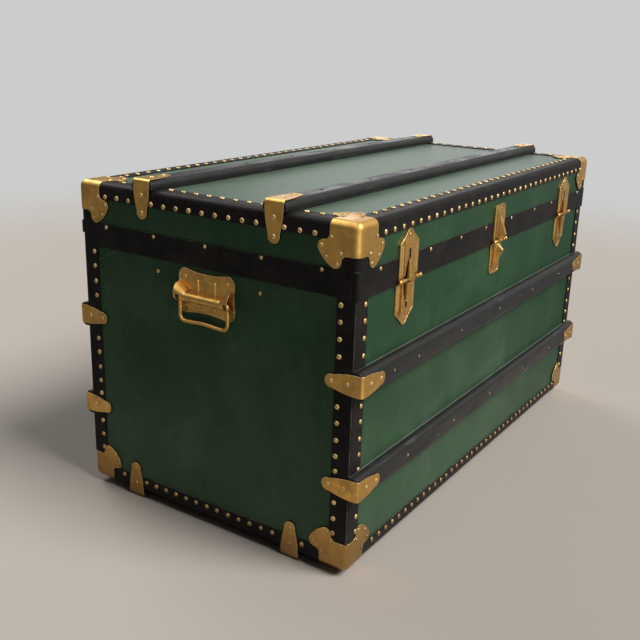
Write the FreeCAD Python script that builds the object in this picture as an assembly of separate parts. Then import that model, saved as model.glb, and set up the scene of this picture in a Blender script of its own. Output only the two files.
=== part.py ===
import FreeCAD, Part
import math
import os

# Travel trunk: a boarded box covered in fibre sheet, with fibre bindings on its
# edges, wooden slats, stamped brass corners, clamps, catches and end handles.
# Millimetres. X runs along the length, the catches are on the -Y face, Z is up.
# The origin is at the middle of the footprint, on the floor.

V = FreeCAD.Vector

# Overall sizes of the body, over its bindings
trunk_length = 875.0
trunk_depth = 490.0
runner_height = 10.0
seam_height = 420.0
lid_height = 79.5
seam_gap = 0.5
lid_overhang = 2.0

# Layers of the walls
board_thickness = 9.0
skin_thickness = 1.0
binding_thickness = 1.5
lining_thickness = 0.8
edge_radius = 9.0
upright_radius = 3.5

# Widths of the bindings
corner_binding_width = 29.0
bottom_binding_width = 26.0
lid_binding_drop = 24.5
lid_binding_width = 30.0
lid_corner_strip_width = 24.0

# Valance round the foot of the lid
valance_height = 36.5
valance_drop = 18.0
valance_thickness = 1.5
valance_corner_radius = 4.0

# Slats
slat_width = 38.0
slat_face_width = 20.0
slat_thickness = 14.0
upper_slat_share = 0.686
lower_slat_share = 0.329
top_slat_share = 0.48
runner_share = 0.616
slat_shoulder_share = 0.25

# Stamped brass sheet, and the clamps on the ends of the slats
brass_thickness = 1.2
clamp_leaf_length = 58.0
clamp_width = 30.0
clamp_bend_radius = 4.0
clamp_outline_shares = [(0.0, 1.0), (0.42, 0.93), (0.80, 0.62), (1.0, 0.0)]
clamp_nail_shares = (0.40, 0.84)
clamp_nail_radius = 3.3
clamp_nail_foot = 0.4
clamp_nail_crown = 1.3

# Stamped corners
corner_reach = 60.0
corner_arch_height = 43.0
corner_outline_shares = [
    (0.250, 1.000), (0.358, 0.742), (0.417, 0.842), (0.475, 0.975), (0.617, 1.000),
]
corner_middle_share = 0.842

# End handles
handle_below_seam = 55.0
handle_width = 101.0
handle_plate_height = 66.5
handle_waist_share = 0.78
handle_dip = 4.5
handle_lobe_share = 1.06
handle_ear_share = 0.97
handle_ear_foot_share = 0.8
handle_neck_share = 0.55
barrel_below_handle = 7.0
barrel_stand_off = 8.0
barrel_radius = 6.3
barrel_half_length = 33.0
flare_radius = 9.0
flare_low = -10.0
flare_high = 20.0
flare_half_length = 49.0
horn_mouth_inset = 4.0
horn_belly_share = 0.15
handle_rib_spacing = 31.0
handle_rib_radius = 2.0
handle_rib_length = 18.0
handle_rim_width = 1.6
handle_rim_rise = 0.7
bail_half_width = 43.5
bail_wire_radius = 2.75
bail_drop = 36.5
bail_corner_radius = 9.0
bail_grip_rise = 1.6
bail_stub_length = 13.0
running_clearance = 0.05
bail_side_clearance = 0.8

# Side catches and the centre catch, measured on the front face
side_catch_inset = 127.5
side_catch_width = 52.0
side_catch_rise = 69.0
side_catch_drop = 67.0
side_catch_point = 19.0
nose_shares = (0.30, 0.22)
shoulder_shares = (0.63, 0.63)
centre_catch_width = 40.0
centre_catch_rise = 59.0
centre_catch_drop = 56.0
centre_catch_round = 8.0
pin_below_seam = 14.0
pin_stand_off = 8.6
pin_radius = 1.4
pin_overhang = 2.0
ball_radius = 3.2
knuckle_radius = 2.7
knuckle_shares = (0.55, 0.96)
lever_share = 0.29
lever_clearance = 0.5
lever_tip_thickness = 1.0
lever_bow = 0.4
lever_rim = 1.3
lever_dish = 0.8
lever_set_in = 0.2
plate_foot_drop = 0.4
strip_head_drop = 1.2
plate_head_drop = 5.0
valance_clearance = 0.4
boss_share = 0.52
boss_rise = 1.7
boss_start = 5.4
boss_end_length = 11.0
side_lever_reach = 28.0
side_rib_drop = 33.0
side_rib_rise = 4.4
side_rib_web = 3.6
gap_share = 0.44
bulge_share = 0.78
slot_half_width = 3.0
slot_rise = 42.0
lower_slot_drop = 42.5
flute_radius = 0.9
flute_start = 4.5
flute_inset = 3.2
flute_pitch = 5.6
flute_end = 3.5
catch_rim_width = 1.6
catch_rim_rise = 0.6
centre_lever_reach = 40.0
centre_apex_reach = 10.5
centre_apex_rise = 11.0
centre_foot_half_width = 5.0
centre_ridge_half_width = 2.3
centre_tip_half_width = 1.2
centre_lower_apex_drop = 15.5
centre_lower_rise = 11.0
centre_lower_end_drop = 38.0

# Hinges on the back
hinge_share = 0.3314
hinge_width = 58.0
hinge_leaf_height = 32.0
hinge_leaf_thickness = 1.5
hinge_knuckle_radius = 3.5
hinge_pin_radius = 1.75
hinge_pin_head = 1.2
hinge_stand_off = 0.5
hinge_knuckle_gap = 0.3
hinge_stop_length = 4.5
hinge_stop_thickness = 2.4
hinge_crank_height = 4.0

# One overrun serves every cut
overrun = 6.0
full_turn = 360.0

# Planes worked out from the sizes above
half_length = trunk_length / 2
half_depth = trunk_depth / 2
body_floor = runner_height
cover = binding_thickness + skin_thickness
rim_height = seam_height - seam_gap / 2
lid_foot = seam_height + seam_gap / 2
lid_top = seam_height + lid_height
lid_half_length = half_length + lid_overhang
lid_half_depth = half_depth + lid_overhang
valance_foot = seam_height - valance_drop
valance_head = valance_foot + valance_height
skin_half_length = half_length - binding_thickness
skin_half_depth = half_depth - binding_thickness
lid_skin_half_length = lid_half_length - binding_thickness
lid_skin_half_depth = lid_half_depth - binding_thickness
upper_slat_height = seam_height * upper_slat_share
lower_slat_height = seam_height * lower_slat_share
top_slat_spacing = trunk_depth * top_slat_share
runner_spacing = trunk_depth * runner_share
handle_height = seam_height - handle_below_seam
barrel_height = handle_height - barrel_below_handle
hinge_spacing = trunk_length * hinge_share

# Heights on the catches, all counted from their pins
side_catch_offset = half_length - side_catch_inset
pin_height = seam_height - pin_below_seam
side_catch_top = pin_height + side_catch_rise
side_catch_bottom = pin_height - side_catch_drop
centre_catch_top = pin_height + centre_catch_rise
centre_catch_bottom = pin_height - centre_catch_drop
catch_plate_foot = pin_height - plate_foot_drop
catch_strip_head = pin_height - strip_head_drop
catch_plate_head = pin_height - plate_head_drop
side_lever_top = pin_height + side_lever_reach
side_rib_foot = pin_height - side_rib_drop
slot_top = pin_height + slot_rise
lower_slot_foot = pin_height - lower_slot_drop
centre_lever_top = pin_height + centre_lever_reach
centre_apex_height = pin_height + centre_apex_reach
centre_lower_apex = pin_height - centre_lower_apex_drop
centre_lower_end = pin_height - centre_lower_end_drop


def box(x0, x1, y0, y1, z0, z1):
    corner = V(min(x0, x1), min(y0, y1), min(z0, z1))
    return Part.makeBox(abs(x1 - x0), abs(y1 - y0), abs(z1 - z0), corner)


def path_edges(start, steps, place):
    # A step is (end,) for a straight line or (middle, end) for an arc.
    edges = []
    here = start
    for step in steps:
        end = step[-1]
        if len(step) == 1:
            edges.append(Part.LineSegment(place(*here), place(*end)).toShape())
        else:
            edges.append(Part.Arc(place(*here), place(*step[0]), place(*end)).toShape())
        here = end
    return edges


def profile(start, steps, place, along):
    # A closed outline in the plane that place maps to, pushed along a vector.
    wire = Part.Wire(path_edges(start, steps, place))
    return Part.Face(wire).extrude(along)


def plane(origin, u, v):
    return lambda a, b: origin + u * a + v * b


def corner_arc(radius, inset):
    # The middle point of a quarter round whose centre lies at (-radius, -radius)
    reach = (radius - inset) * math.sqrt(0.5)
    return -radius + reach


def union(shapes):
    whole = shapes[0]
    for shape in shapes[1:]:
        whole = whole.fuse(shape)
    return whole.removeSplitter()


def export(name, shapes):
    if not isinstance(shapes, list):
        shapes = [shapes]
    solids = [solid for shape in shapes for solid in shape.Solids]
    for solid in solids:
        if not solid.isValid() or solid.Volume <= 0:
            raise ValueError(name + " holds a solid that is not sound")
    body = solids[0] if len(solids) == 1 else Part.makeCompound(solids)
    body.exportStep("parts/" + name + ".step")
    print(name, len(solids), "solids", round(sum(s.Volume for s in solids)), "mm3")


def mirrored(shape, x=1, y=1, z=1):
    result = shape
    if x < 0:
        result = result.mirror(V(0, 0, 0), V(1, 0, 0))
    if y < 0:
        result = result.mirror(V(0, 0, 0), V(0, 1, 0))
    if z < 0:
        result = result.mirror(V(0, 0, 0), V(0, 0, 1))
    return result


# Boards, fibre sheets and lining

def rounded_block(half_x, half_y, z0, z1, radius, round_low):
    # A block with its upright edges and one rim rounded, as the boards are sanded.
    block = box(-half_x, half_x, -half_y, half_y, z0, z1)
    level = z0 if round_low else z1
    edges = []
    for edge in block.Edges:
        upright = abs(edge.Vertexes[0].Z - edge.Vertexes[1].Z) > overrun
        at_level = all(abs(vertex.Z - level) < skin_thickness for vertex in edge.Vertexes)
        if upright or at_level:
            edges.append(edge)
    return block.makeFillet(radius, edges)


def wall_boards(half_x, half_y, z0, z1, panel_at_foot, names):
    block = rounded_block(half_x, half_y, z0, z1, edge_radius - cover, panel_at_foot)
    inner_x = half_x - board_thickness
    inner_y = half_y - board_thickness
    if panel_at_foot:
        panel_z = (z0, z0 + board_thickness)
    else:
        panel_z = (z1 - board_thickness, z1)
    hollow = box(-inner_x, inner_x, -inner_y, inner_y, z0 - overrun, z1 + overrun)
    walls = block.cut(hollow)
    panel = box(-inner_x, inner_x, -inner_y, inner_y, *panel_z)
    ends = box(-half_x, half_x, -inner_y, inner_y, z0, z1)
    front_side = box(-half_x, half_x, -half_y - overrun, -inner_y, z0, z1)
    left_side = box(-half_x - overrun, -inner_x, -half_y, half_y, z0, z1)
    end_walls = walls.common(ends)
    export(names + "front_board", walls.common(front_side))
    export(names + "back_board", walls.common(mirrored(front_side, y=-1)))
    export(names + "left_board", end_walls.common(left_side))
    export(names + "right_board", end_walls.common(mirrored(left_side, x=-1)))
    return panel


def side_sheets(half_x, half_y, z0, z1, thickness, inset):
    # Four upright sheets whose outer faces stand at half_x and half_y.
    sheets = []
    for side in (-1, 1):
        sheets.append(box(-half_x + inset, half_x - inset,
                          side * (half_y - thickness), side * half_y, z0, z1))
        sheets.append(box(side * (half_x - thickness), side * half_x,
                          -half_y + inset, half_y - inset, z0, z1))
    return sheets


def build_body_boards():
    half_x = half_length - cover
    half_y = half_depth - cover
    foot = body_floor + cover
    panel = wall_boards(half_x, half_y, foot, rim_height, True, "body_")
    export("bottom_board", panel)

    skins = side_sheets(skin_half_length, skin_half_depth, body_floor + edge_radius,
                        rim_height, skin_thickness, edge_radius)
    under = body_floor + binding_thickness
    skins.append(box(-half_length + edge_radius, half_length - edge_radius,
                     -half_depth + edge_radius, half_depth - edge_radius,
                     under, under + skin_thickness))
    export("body_fibre_sheets", skins)

    inner_x = half_x - board_thickness
    inner_y = half_y - board_thickness
    floor = foot + board_thickness
    lining = side_sheets(inner_x, inner_y, floor + lining_thickness, rim_height,
                         lining_thickness, lining_thickness)
    lining.append(box(-inner_x, inner_x, -inner_y, inner_y,
                      floor, floor + lining_thickness))
    export("body_lining", lining)


def build_lid_boards():
    half_x = lid_half_length - cover
    half_y = lid_half_depth - cover
    top = lid_top - cover
    panel = wall_boards(half_x, half_y, lid_foot, top, False, "lid_")
    export("lid_top_board", panel)

    skins = side_sheets(lid_skin_half_length, lid_skin_half_depth, lid_foot,
                        lid_top - edge_radius, skin_thickness, edge_radius)
    skins.append(box(-lid_half_length + edge_radius, lid_half_length - edge_radius,
                     -lid_half_depth + edge_radius, lid_half_depth - edge_radius,
                     top, top + skin_thickness))
    export("lid_fibre_sheets", skins)

    inner_x = half_x - board_thickness
    inner_y = half_y - board_thickness
    ceiling = top - board_thickness
    lining = side_sheets(inner_x, inner_y, lid_foot, ceiling - lining_thickness,
                         lining_thickness, lining_thickness)
    lining.append(box(-inner_x, inner_x, -inner_y, inner_y,
                      ceiling - lining_thickness, ceiling))
    export("lid_lining", lining)


# Fibre bindings, each bent over an edge

def binding(corner, u, v, width_u, width_v, along, radius=edge_radius):
    # corner is where the two covered outer faces would meet; u and v point outward.
    r = radius
    t = binding_thickness
    outer = corner_arc(r, 0)
    inner = corner_arc(r, t)
    steps = [
        ((-r, 0),),
        ((outer, outer), (0, -r)),
        ((0, -width_v),),
        ((-t, -width_v),),
        ((-t, -r),),
        ((inner, inner), (-r, -t)),
        ((-width_u, -t),),
        ((-width_u, 0),),
    ]
    return profile((-width_u, 0), steps, plane(corner, u, v), along)


def upright_bindings(half_x, half_y, z0, z1, width, radius=edge_radius):
    strips = []
    for sx in (-1, 1):
        for sy in (-1, 1):
            strips.append(binding(V(sx * half_x, sy * half_y, z0), V(sx, 0, 0), V(0, sy, 0),
                                  width, width, V(0, 0, z1 - z0), radius))
    return strips


def rim_bindings(half_x, half_y, z, up, width_flat, width_side):
    # Strips along the four edges of a top or bottom; up is 1 for the lid's top.
    strips = []
    stop_x = half_x - edge_radius
    stop_y = half_y - edge_radius
    for side in (-1, 1):
        strips.append(binding(V(-stop_x, side * half_y, z), V(0, side, 0), V(0, 0, up),
                              width_flat, width_side, V(2 * stop_x, 0, 0)))
        strips.append(binding(V(side * half_x, -stop_y, z), V(side, 0, 0), V(0, 0, up),
                              width_flat, width_side, V(0, 2 * stop_y, 0)))
    return strips


def without_overlap(strips, others):
    return [strip.cut(Part.makeCompound(others)) for strip in strips]


def mitred(strips, half_x, half_y):
    # Neighbouring strips meet on the diagonal of the face that they share.
    reach = half_x + overrun
    trimmed = []
    for index, strip in enumerate(strips):
        side = -1 if index < 2 else 1
        if index % 2 == 0:
            points = [(-half_x, side * half_y), (-half_x + half_y, 0), (half_x - half_y, 0),
                      (half_x, side * half_y), (half_x, side * (half_y + overrun)),
                      (-half_x, side * (half_y + overrun))]
        else:
            points = [(side * half_x, -half_y), (side * (half_x - half_y), 0),
                      (side * half_x, half_y), (side * reach, half_y), (side * reach, -half_y)]
        low = strip.BoundBox.ZMin - overrun
        high = strip.BoundBox.ZMax + overrun
        corners = [V(x, y, low) for x, y in points]
        wedge = Part.Face(Part.makePolygon(corners + corners[:1])).extrude(V(0, 0, high - low))
        trimmed.append(strip.common(wedge))
    return trimmed


def build_bindings():
    # The uprights are bent sharp above the stamped corners, and full beneath them.
    foot = body_floor + edge_radius
    arch = body_floor + corner_arch_height
    full = upright_bindings(half_length, half_depth, foot, arch, corner_binding_width)
    sharp = upright_bindings(half_length, half_depth, arch, rim_height,
                             corner_binding_width, upright_radius)
    uprights = [union(pair) for pair in zip(full, sharp)]
    lows = rim_bindings(half_length, half_depth, body_floor, -1,
                        bottom_binding_width, bottom_binding_width)
    lows = mitred(lows, half_length, half_depth)
    export("corner_bindings", uprights)
    export("bottom_bindings", without_overlap(lows, uprights))

    head = lid_top - edge_radius
    strips = upright_bindings(lid_half_length, lid_half_depth, valance_head, head,
                              lid_corner_strip_width)
    tops = rim_bindings(lid_half_length, lid_half_depth, lid_top, 1,
                        lid_binding_width, lid_binding_drop)
    tops = mitred(tops, lid_half_length, lid_half_depth)
    export("lid_edge_bindings", tops)
    export("lid_corner_strips", without_overlap(strips, tops))


# Valance: a black band round the lid that hangs over the joint at the front and ends

def rounded_ring(half_x, half_y, thickness, radius, z0, z1):
    def block(inset):
        solid = box(-half_x + inset, half_x - inset, -half_y + inset, half_y - inset, z0, z1)
        uprights = [edge for edge in solid.Edges
                    if abs(edge.Vertexes[0].Z - edge.Vertexes[1].Z) > thickness]
        return solid.makeFillet(radius - inset, uprights)
    return block(0).cut(block(thickness))


def build_valance():
    ring = rounded_ring(lid_half_length, lid_half_depth, valance_thickness,
                        valance_corner_radius, valance_foot, valance_head)
    turn_y = lid_half_depth - edge_radius
    turn_x = lid_half_length - edge_radius
    outside_x = lid_half_length + overrun
    outside_y = lid_half_depth + overrun
    front = box(-outside_x, outside_x, -outside_y, -turn_y, valance_foot, valance_head)
    left = box(-outside_x, -turn_x, -turn_y, turn_y, valance_foot, valance_head)
    back = box(-outside_x, outside_x, turn_y, outside_y, lid_foot, valance_head)
    export("front_valance", ring.common(front))
    export("left_valance", ring.common(left))
    export("right_valance", ring.common(mirrored(left, x=-1)))
    export("back_band", ring.common(back))


# Wooden slats: a rounded section, eased over the bindings that they cross

def slat(centre, along, out, across, half_span, relief_width, foot_recess):
    # centre lies on the covered face; out points away from the trunk.
    base = slat_width / 2
    face = slat_face_width / 2
    rise = slat_thickness if foot_recess == 0 else runner_height
    low = -binding_thickness
    shoulder = rise * slat_shoulder_share
    bulge = face + (base - face) * math.sqrt(0.5)
    brow = shoulder + (rise - shoulder) * math.sqrt(0.5)
    section = profile(
        (-base, low),
        [((-base, shoulder),), ((-bulge, brow), (-face, rise)),
         ((face, rise),), ((bulge, brow), (base, shoulder)),
         ((base, low),), ((-base, low),)],
        plane(centre - along * half_span, across, out), along * (2 * half_span))
    r = clamp_bend_radius
    turn = corner_arc(r, 0)
    step_x = half_span - relief_width
    top = rise - foot_recess
    notch = half_span - clamp_leaf_length
    steps = [
        ((step_x, low),), ((step_x, 0),), ((half_span, 0),), ((half_span, top - r),),
        ((half_span + turn, top + turn), (half_span - r, top)),
    ]
    if foot_recess:
        steps += [((notch, top),), ((notch, rise),), ((-notch, rise),), ((-notch, top),)]
    steps += [
        ((-half_span + r, top),),
        ((-half_span - turn, top + turn), (-half_span, top - r)),
        ((-half_span, 0),), ((-step_x, 0),), ((-step_x, low),),
    ]
    side = profile((-step_x, low), steps,
                   plane(centre - across * base, along, out), across * slat_width)
    return section.common(side)


def slat_places():
    # name, centre on the binding's face, out, across, half span, relief width
    x = V(1, 0, 0)
    y = V(0, 1, 0)
    z = V(0, 0, 1)
    places = []
    for side, face in ((-1, "front"), (1, "back")):
        for level, height in (("upper", upper_slat_height), ("lower", lower_slat_height)):
            places.append((face + "_" + level + "_slat", V(0, side * half_depth, height),
                           y * side, z, half_length, corner_binding_width))
    for side, face in ((-1, "front"), (1, "rear")):
        places.append((face + "_top_slat", V(0, side * top_slat_spacing / 2, lid_top),
                       z, y, lid_half_length, lid_binding_width))
        places.append((face + "_runner", V(0, side * runner_spacing / 2, body_floor),
                       z * -1, y, half_length, bottom_binding_width))
    return x, places


def clamp(corner, p, q, w):
    # Two leaves bent over a slat's end; p and q point out of the faces that it covers.
    t = brass_thickness
    r = clamp_bend_radius
    reach = clamp_leaf_length - t
    half = clamp_width / 2
    inner = corner_arc(r, 0)
    outer = -r + (r + t) * math.sqrt(0.5)
    steps = [
        ((0, -r),), ((inner, inner), (-r, 0)), ((-reach, 0),), ((-reach, t),), ((-r, t),),
        ((outer, outer), (t, -r)), ((t, -reach),), ((0, -reach),),
    ]
    bent = profile((0, -reach), steps, plane(corner - w * half, p, q), w * clamp_width)

    def leaf(out, down):
        def point(share):
            return (t - share[0] * clamp_leaf_length, share[1] * half)

        def mirror_point(share):
            return (t - share[0] * clamp_leaf_length, -share[1] * half)

        root, belly, shoulder, tip = clamp_outline_shares
        place = plane(corner - out * r, down, w)
        steps = [(point(belly), point(shoulder)), (point(tip), mirror_point(shoulder)),
                 (mirror_point(belly), mirror_point(root)), (point(root),)]
        return profile(point(root), steps, place, out * (r + t))

    leaves = leaf(p, q).fuse(leaf(q, p))
    return bent.common(leaves)


def clamp_nails(corner, faces):
    # Domed heads on a clamp; each face is (out of the face, towards the corner).
    r = clamp_nail_radius
    top = clamp_nail_foot + clamp_nail_crown
    ball = (r ** 2 + clamp_nail_crown ** 2) / (2 * clamp_nail_crown)
    brow = top - ball + math.sqrt(ball ** 2 - (r / 2) ** 2)
    heads = []
    for out, down in faces:
        for share in clamp_nail_shares:
            foot = corner + out * brass_thickness
            foot += down * (brass_thickness - share * clamp_leaf_length)
            edges = path_edges((0, 0), [((r, 0),), ((r, clamp_nail_foot),),
                                        ((r / 2, brow), (0, top)), ((0, 0),)],
                               plane(foot, down, out))
            heads.append(Part.Face(Part.Wire(edges)).revolve(foot, out, full_turn))
    return heads


def build_slats():
    along, places = slat_places()
    wall_clamps = []
    top_clamps = []
    runner_clamps = []
    body_nails = []
    lid_nails = []
    for name, centre, out, across, half_span, relief in places:
        is_runner = name.endswith("runner")
        recess = brass_thickness if is_runner else 0
        export(name, slat(centre, along, out, across, half_span, relief, recess))
        rise = runner_height - brass_thickness if is_runner else slat_thickness
        for side in (-1, 1):
            corner = centre + along * (side * half_span) + out * rise
            end = along * side
            piece = clamp(corner, end, out, across)
            if is_runner:
                runner_clamps.append(piece)
                body_nails += clamp_nails(corner, [(end, out)])
            elif name.endswith("top_slat"):
                top_clamps.append(piece)
                lid_nails += clamp_nails(corner, [(end, out), (out, end)])
            else:
                wall_clamps.append(piece)
                body_nails += clamp_nails(corner, [(end, out), (out, end)])
    export("wall_slat_clamps", wall_clamps)
    export("top_slat_clamps", top_clamps)
    export("runner_clamps", runner_clamps)
    export("body_clamp_nails", body_nails)
    export("lid_clamp_nails", lid_nails)


# Stamped corners: a rounded three-way shell whose flanges have lobes between arches

def corner_outline():
    # Distances from the two edges of one face, from arch to arch
    reach = corner_reach
    arch = corner_arch_height
    near = corner_outline_shares[0][0] * reach
    side = [(u * reach, v * reach) for u, v in corner_outline_shares[1:]]
    bend, lobe_foot, lobe_tip, lobe_end = side
    middle = (corner_middle_share * reach, corner_middle_share * reach)

    def flip(point):
        return (point[1], point[0])

    steps = [
        ((0, arch),), ((near, arch),), (bend, lobe_foot), (lobe_tip, lobe_end),
        (middle, flip(lobe_end)), (flip(lobe_tip), flip(lobe_foot)),
        (flip(bend), (arch, near)), ((arch, 0),), ((arch, -overrun),),
        ((-overrun, -overrun),), ((-overrun, arch),),
    ]
    return (-overrun, arch), steps


def stamped_corner():
    # Made with its point at the origin and its body towards negative X, Y and Z
    t = brass_thickness
    reach = corner_reach + overrun

    def rounded(offset, size):
        block = box(offset - size, offset, offset - size, offset, offset - size, offset)
        edges = []
        for edge in block.Edges:
            middle = edge.CenterOfMass
            level = [abs(c - offset) < skin_thickness for c in (middle.x, middle.y, middle.z)]
            if sum(level) == 2:
                edges.append(edge)
        return block.makeFillet(edge_radius + offset, edges)

    shell = rounded(t, reach).cut(rounded(0, reach + overrun))
    start, steps = corner_outline()
    depth = corner_outline_shares[0][0] * corner_reach
    axes = [V(1, 0, 0), V(0, 1, 0), V(0, 0, 1)]
    trims = []
    for index in range(3):
        out = axes[index]
        u = axes[(index + 1) % 3] * -1
        v = axes[(index + 2) % 3] * -1
        place = plane(out * -depth, u, v)
        trims.append(profile(start, steps, place, out * (depth + overrun)))
    return shell.common(union(trims))


def build_corners():
    piece = stamped_corner()
    tops = []
    bottoms = []
    for sx in (-1, 1):
        for sy in (-1, 1):
            top = mirrored(piece, sx, sy, 1)
            tops.append(top.translated(V(sx * lid_half_length, sy * lid_half_depth, lid_top)))
            bottom = mirrored(piece, sx, sy, -1)
            bottoms.append(bottom.translated(V(sx * half_length, sy * half_depth, body_floor)))
    export("lid_corners", tops)
    export("bottom_corners", bottoms)


# End handles: a stamped plate with a flared barrel, and a wire bail that hangs from it

def horn(axis_x, face, side, wall):
    # A flared end of the barrel, or with a wall the hollow inside its mouth
    def section(along, low, high, radius, mouth_extra):
        place = plane(V(face, side * (along + mouth_extra), barrel_height),
                      V(1, 0, 0), V(0, 0, 1))
        near = wall
        edges = path_edges((near, low + wall),
                           [((axis_x - face + radius - wall, (low + high) * horn_belly_share),
                             (near, high - wall)), ((near, low + wall),)], place)
        return Part.Wire(edges)
    inset = horn_mouth_inset if wall else 0
    extra = overrun if wall else 0
    root = section(barrel_half_length + inset, -barrel_radius, barrel_radius, barrel_radius, 0)
    mouth = section(flare_half_length, flare_low, flare_high, flare_radius, 0)
    if not wall:
        return Part.makeLoft([root, mouth], True, True)
    beyond = section(flare_half_length, flare_low, flare_high, flare_radius, extra)
    inner = Part.makeLoft([root, mouth], True, True)
    return inner.fuse(Part.makeLoft([mouth, beyond], True, True))


def handle_plate():
    # Built for the right-hand end, whose outward direction is +X
    face = skin_half_length
    half_w = handle_width / 2
    half_h = handle_plate_height / 2
    waist = half_w * handle_waist_share
    lobe = half_w * (1 + handle_waist_share) / 2 * handle_lobe_share
    dip = half_h - handle_dip
    ear = half_h - half_h / 2 * handle_ear_foot_share
    neck = half_w * handle_ear_share
    neck_rise = half_h / 2 * handle_neck_share
    steps = []
    for up in (1, -1):
        side = up
        steps += [((0, up * dip), (side * waist, up * half_h)),
                  ((side * lobe, up * (half_h - handle_dip)), (side * half_w, up * ear)),
                  ((side * neck, up * neck_rise), (side * waist, 0)),
                  ((side * neck, -up * neck_rise), (side * half_w, -up * ear)),
                  ((side * lobe, -up * (half_h - handle_dip)), (side * waist, -up * half_h))]
    place = plane(V(face, 0, handle_height), V(0, 1, 0), V(0, 0, 1))
    plate = profile((-waist, half_h), steps, place, V(brass_thickness, 0, 0))

    outline = Part.Face(Part.Wire(path_edges((-waist, half_h), steps, place)))
    inner = outline.makeOffset2D(-handle_rim_width)
    lift = V(brass_thickness + handle_rim_rise, 0, 0)
    rim = outline.extrude(lift).cut(inner.extrude(lift * 2))

    axis_x = face + barrel_stand_off
    solids = [plate, rim]
    tube = Part.makeCylinder(barrel_radius, 2 * barrel_half_length,
                             V(axis_x, -barrel_half_length, barrel_height), V(0, 1, 0))
    saddle = box(face, axis_x, -barrel_half_length, barrel_half_length,
                 barrel_height - barrel_radius, barrel_height + barrel_radius)
    solids += [tube, saddle]
    for side in (-1, 1):
        solids.append(horn(axis_x, face, side, 0))
        rib = Part.makeCylinder(handle_rib_radius, handle_rib_length + barrel_radius,
                                V(face + brass_thickness, side * handle_rib_spacing / 2,
                                  barrel_height))
        knob = Part.makeSphere(handle_rib_radius,
                               V(face + brass_thickness, side * handle_rib_spacing / 2,
                                 barrel_height + handle_rib_length + barrel_radius))
        solids += [rib, knob]
    whole = union(solids)
    behind = box(face - handle_width, face, -handle_width, handle_width,
                 barrel_height - handle_width, barrel_height + handle_width)
    bore = Part.makeCylinder(bail_wire_radius + running_clearance, handle_width,
                             V(axis_x, -half_w, barrel_height), V(0, 1, 0))
    whole = whole.cut(behind).cut(bore)
    for side in (-1, 1):
        whole = whole.cut(horn(axis_x, face, side, brass_thickness))
    room = bail_wire_radius + bail_side_clearance
    for side in (-1, 1):
        swing = box(axis_x - room, axis_x + handle_width,
                    side * (bail_half_width - room), side * (bail_half_width + room),
                    barrel_height + room, barrel_height - handle_width)
        whole = whole.cut(swing)
    return whole


def bail():
    # Wire bent in one plane: stubs that turn in the barrel, legs and a waved grip
    face_x = skin_half_length + barrel_stand_off
    r = bail_corner_radius
    w = bail_half_width
    low = -bail_drop
    lean = r * (1 - math.sqrt(0.5))
    top_r = bail_wire_radius + bail_side_clearance
    top_lean = top_r * (1 - math.sqrt(0.5))
    inner = w - bail_stub_length
    # The grip rises to its middle in arcs of one radius, level at both ends.
    c = w - r
    wave = (c * c + bail_grip_rise ** 2) / (4 * bail_grip_rise)
    half_turn = math.asin(c / (2 * wave)) / 2
    run = wave * math.sin(half_turn)
    climb = wave * (1 - math.cos(half_turn))
    halfway = low + bail_grip_rise / 2
    steps = [
        ((-w + top_r, 0),),
        ((-w + top_lean, -top_lean), (-w, -top_r)),
        ((-w, low + r),),
        ((-w + lean, low + lean), (-c, low)),
        ((-c + run, low + climb), (-c / 2, halfway)),
        ((0, low + bail_grip_rise), (c / 2, halfway)),
        ((c - run, low + climb), (c, low)),
        ((w - lean, low + lean), (w, low + r)),
        ((w, -top_r),),
        ((w - top_lean, -top_lean), (w - top_r, 0)),
        ((inner, 0),),
    ]
    place = plane(V(face_x, 0, barrel_height), V(0, 1, 0), V(0, 0, 1))
    spine = Part.Wire(path_edges((-inner, 0), steps, place))
    ring = Part.makeCircle(bail_wire_radius, place(-inner, 0), V(0, 1, 0))
    return spine.makePipeShell([Part.Wire(ring)], True, False, 1)


def build_handles():
    plate = handle_plate()
    wire = bail()
    export("right_handle_plate", plate)
    export("left_handle_plate", mirrored(plate, x=-1))
    export("right_bail", wire)
    export("left_bail", mirrored(wire, x=-1))


# Catches: a plate on the lid, a plate on the body, a ball-ended pin and a lever

panel_y = -skin_half_depth
lid_panel_y = -lid_skin_half_depth
valance_y = -lid_half_depth
pin_y = panel_y - pin_stand_off
lid_plate_y = valance_y - brass_thickness
strip_y = valance_y - valance_clearance
base_plate_y = panel_y - brass_thickness
lid_boss_y = lid_plate_y - boss_rise
base_boss_y = strip_y - brass_thickness / 2
lever_y = lid_boss_y - lever_clearance
knuckle_y = pin_y - knuckle_radius


def front_plane(y):
    return plane(V(0, y, 0), V(1, 0, 0), V(0, 0, 1))


def side_plane(x):
    return plane(V(x, 0, 0), V(0, 1, 0), V(0, 0, 1))


def catch_outline(x, half_width, root, tip, pointed):
    # From the straight root of a plate round its far end and back
    way = 1 if tip > root else -1
    if pointed:
        out, down = nose_shares
        nose = half_width * out
        waist = tip - way * side_catch_point * down
        out, down = shoulder_shares
        bend = half_width * out
        middle = tip - way * side_catch_point * down
        shoulder = tip - way * side_catch_point
        return [((x + half_width, shoulder),),
                ((x + bend, middle), (x + nose, waist)),
                ((x, tip), (x - nose, waist)),
                ((x - bend, middle), (x - half_width, shoulder)),
                ((x - half_width, root),), ((x + half_width, root),)]
    r = centre_catch_round
    lean = r * (1 - math.sqrt(0.5))
    return [((x + half_width, tip - way * r),),
            ((x + half_width - lean, tip - way * lean), (x + half_width - r, tip)),
            ((x - half_width + r, tip),),
            ((x - half_width + lean, tip - way * lean), (x - half_width, tip - way * r)),
            ((x - half_width, root),), ((x + half_width, root),)]


def catch_sheet(x, half_width, root, tip, pointed, back, front):
    outline = catch_outline(x, half_width, root, tip, pointed)
    return profile((x + half_width, root), outline, front_plane(back), V(0, front - back, 0))


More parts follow.
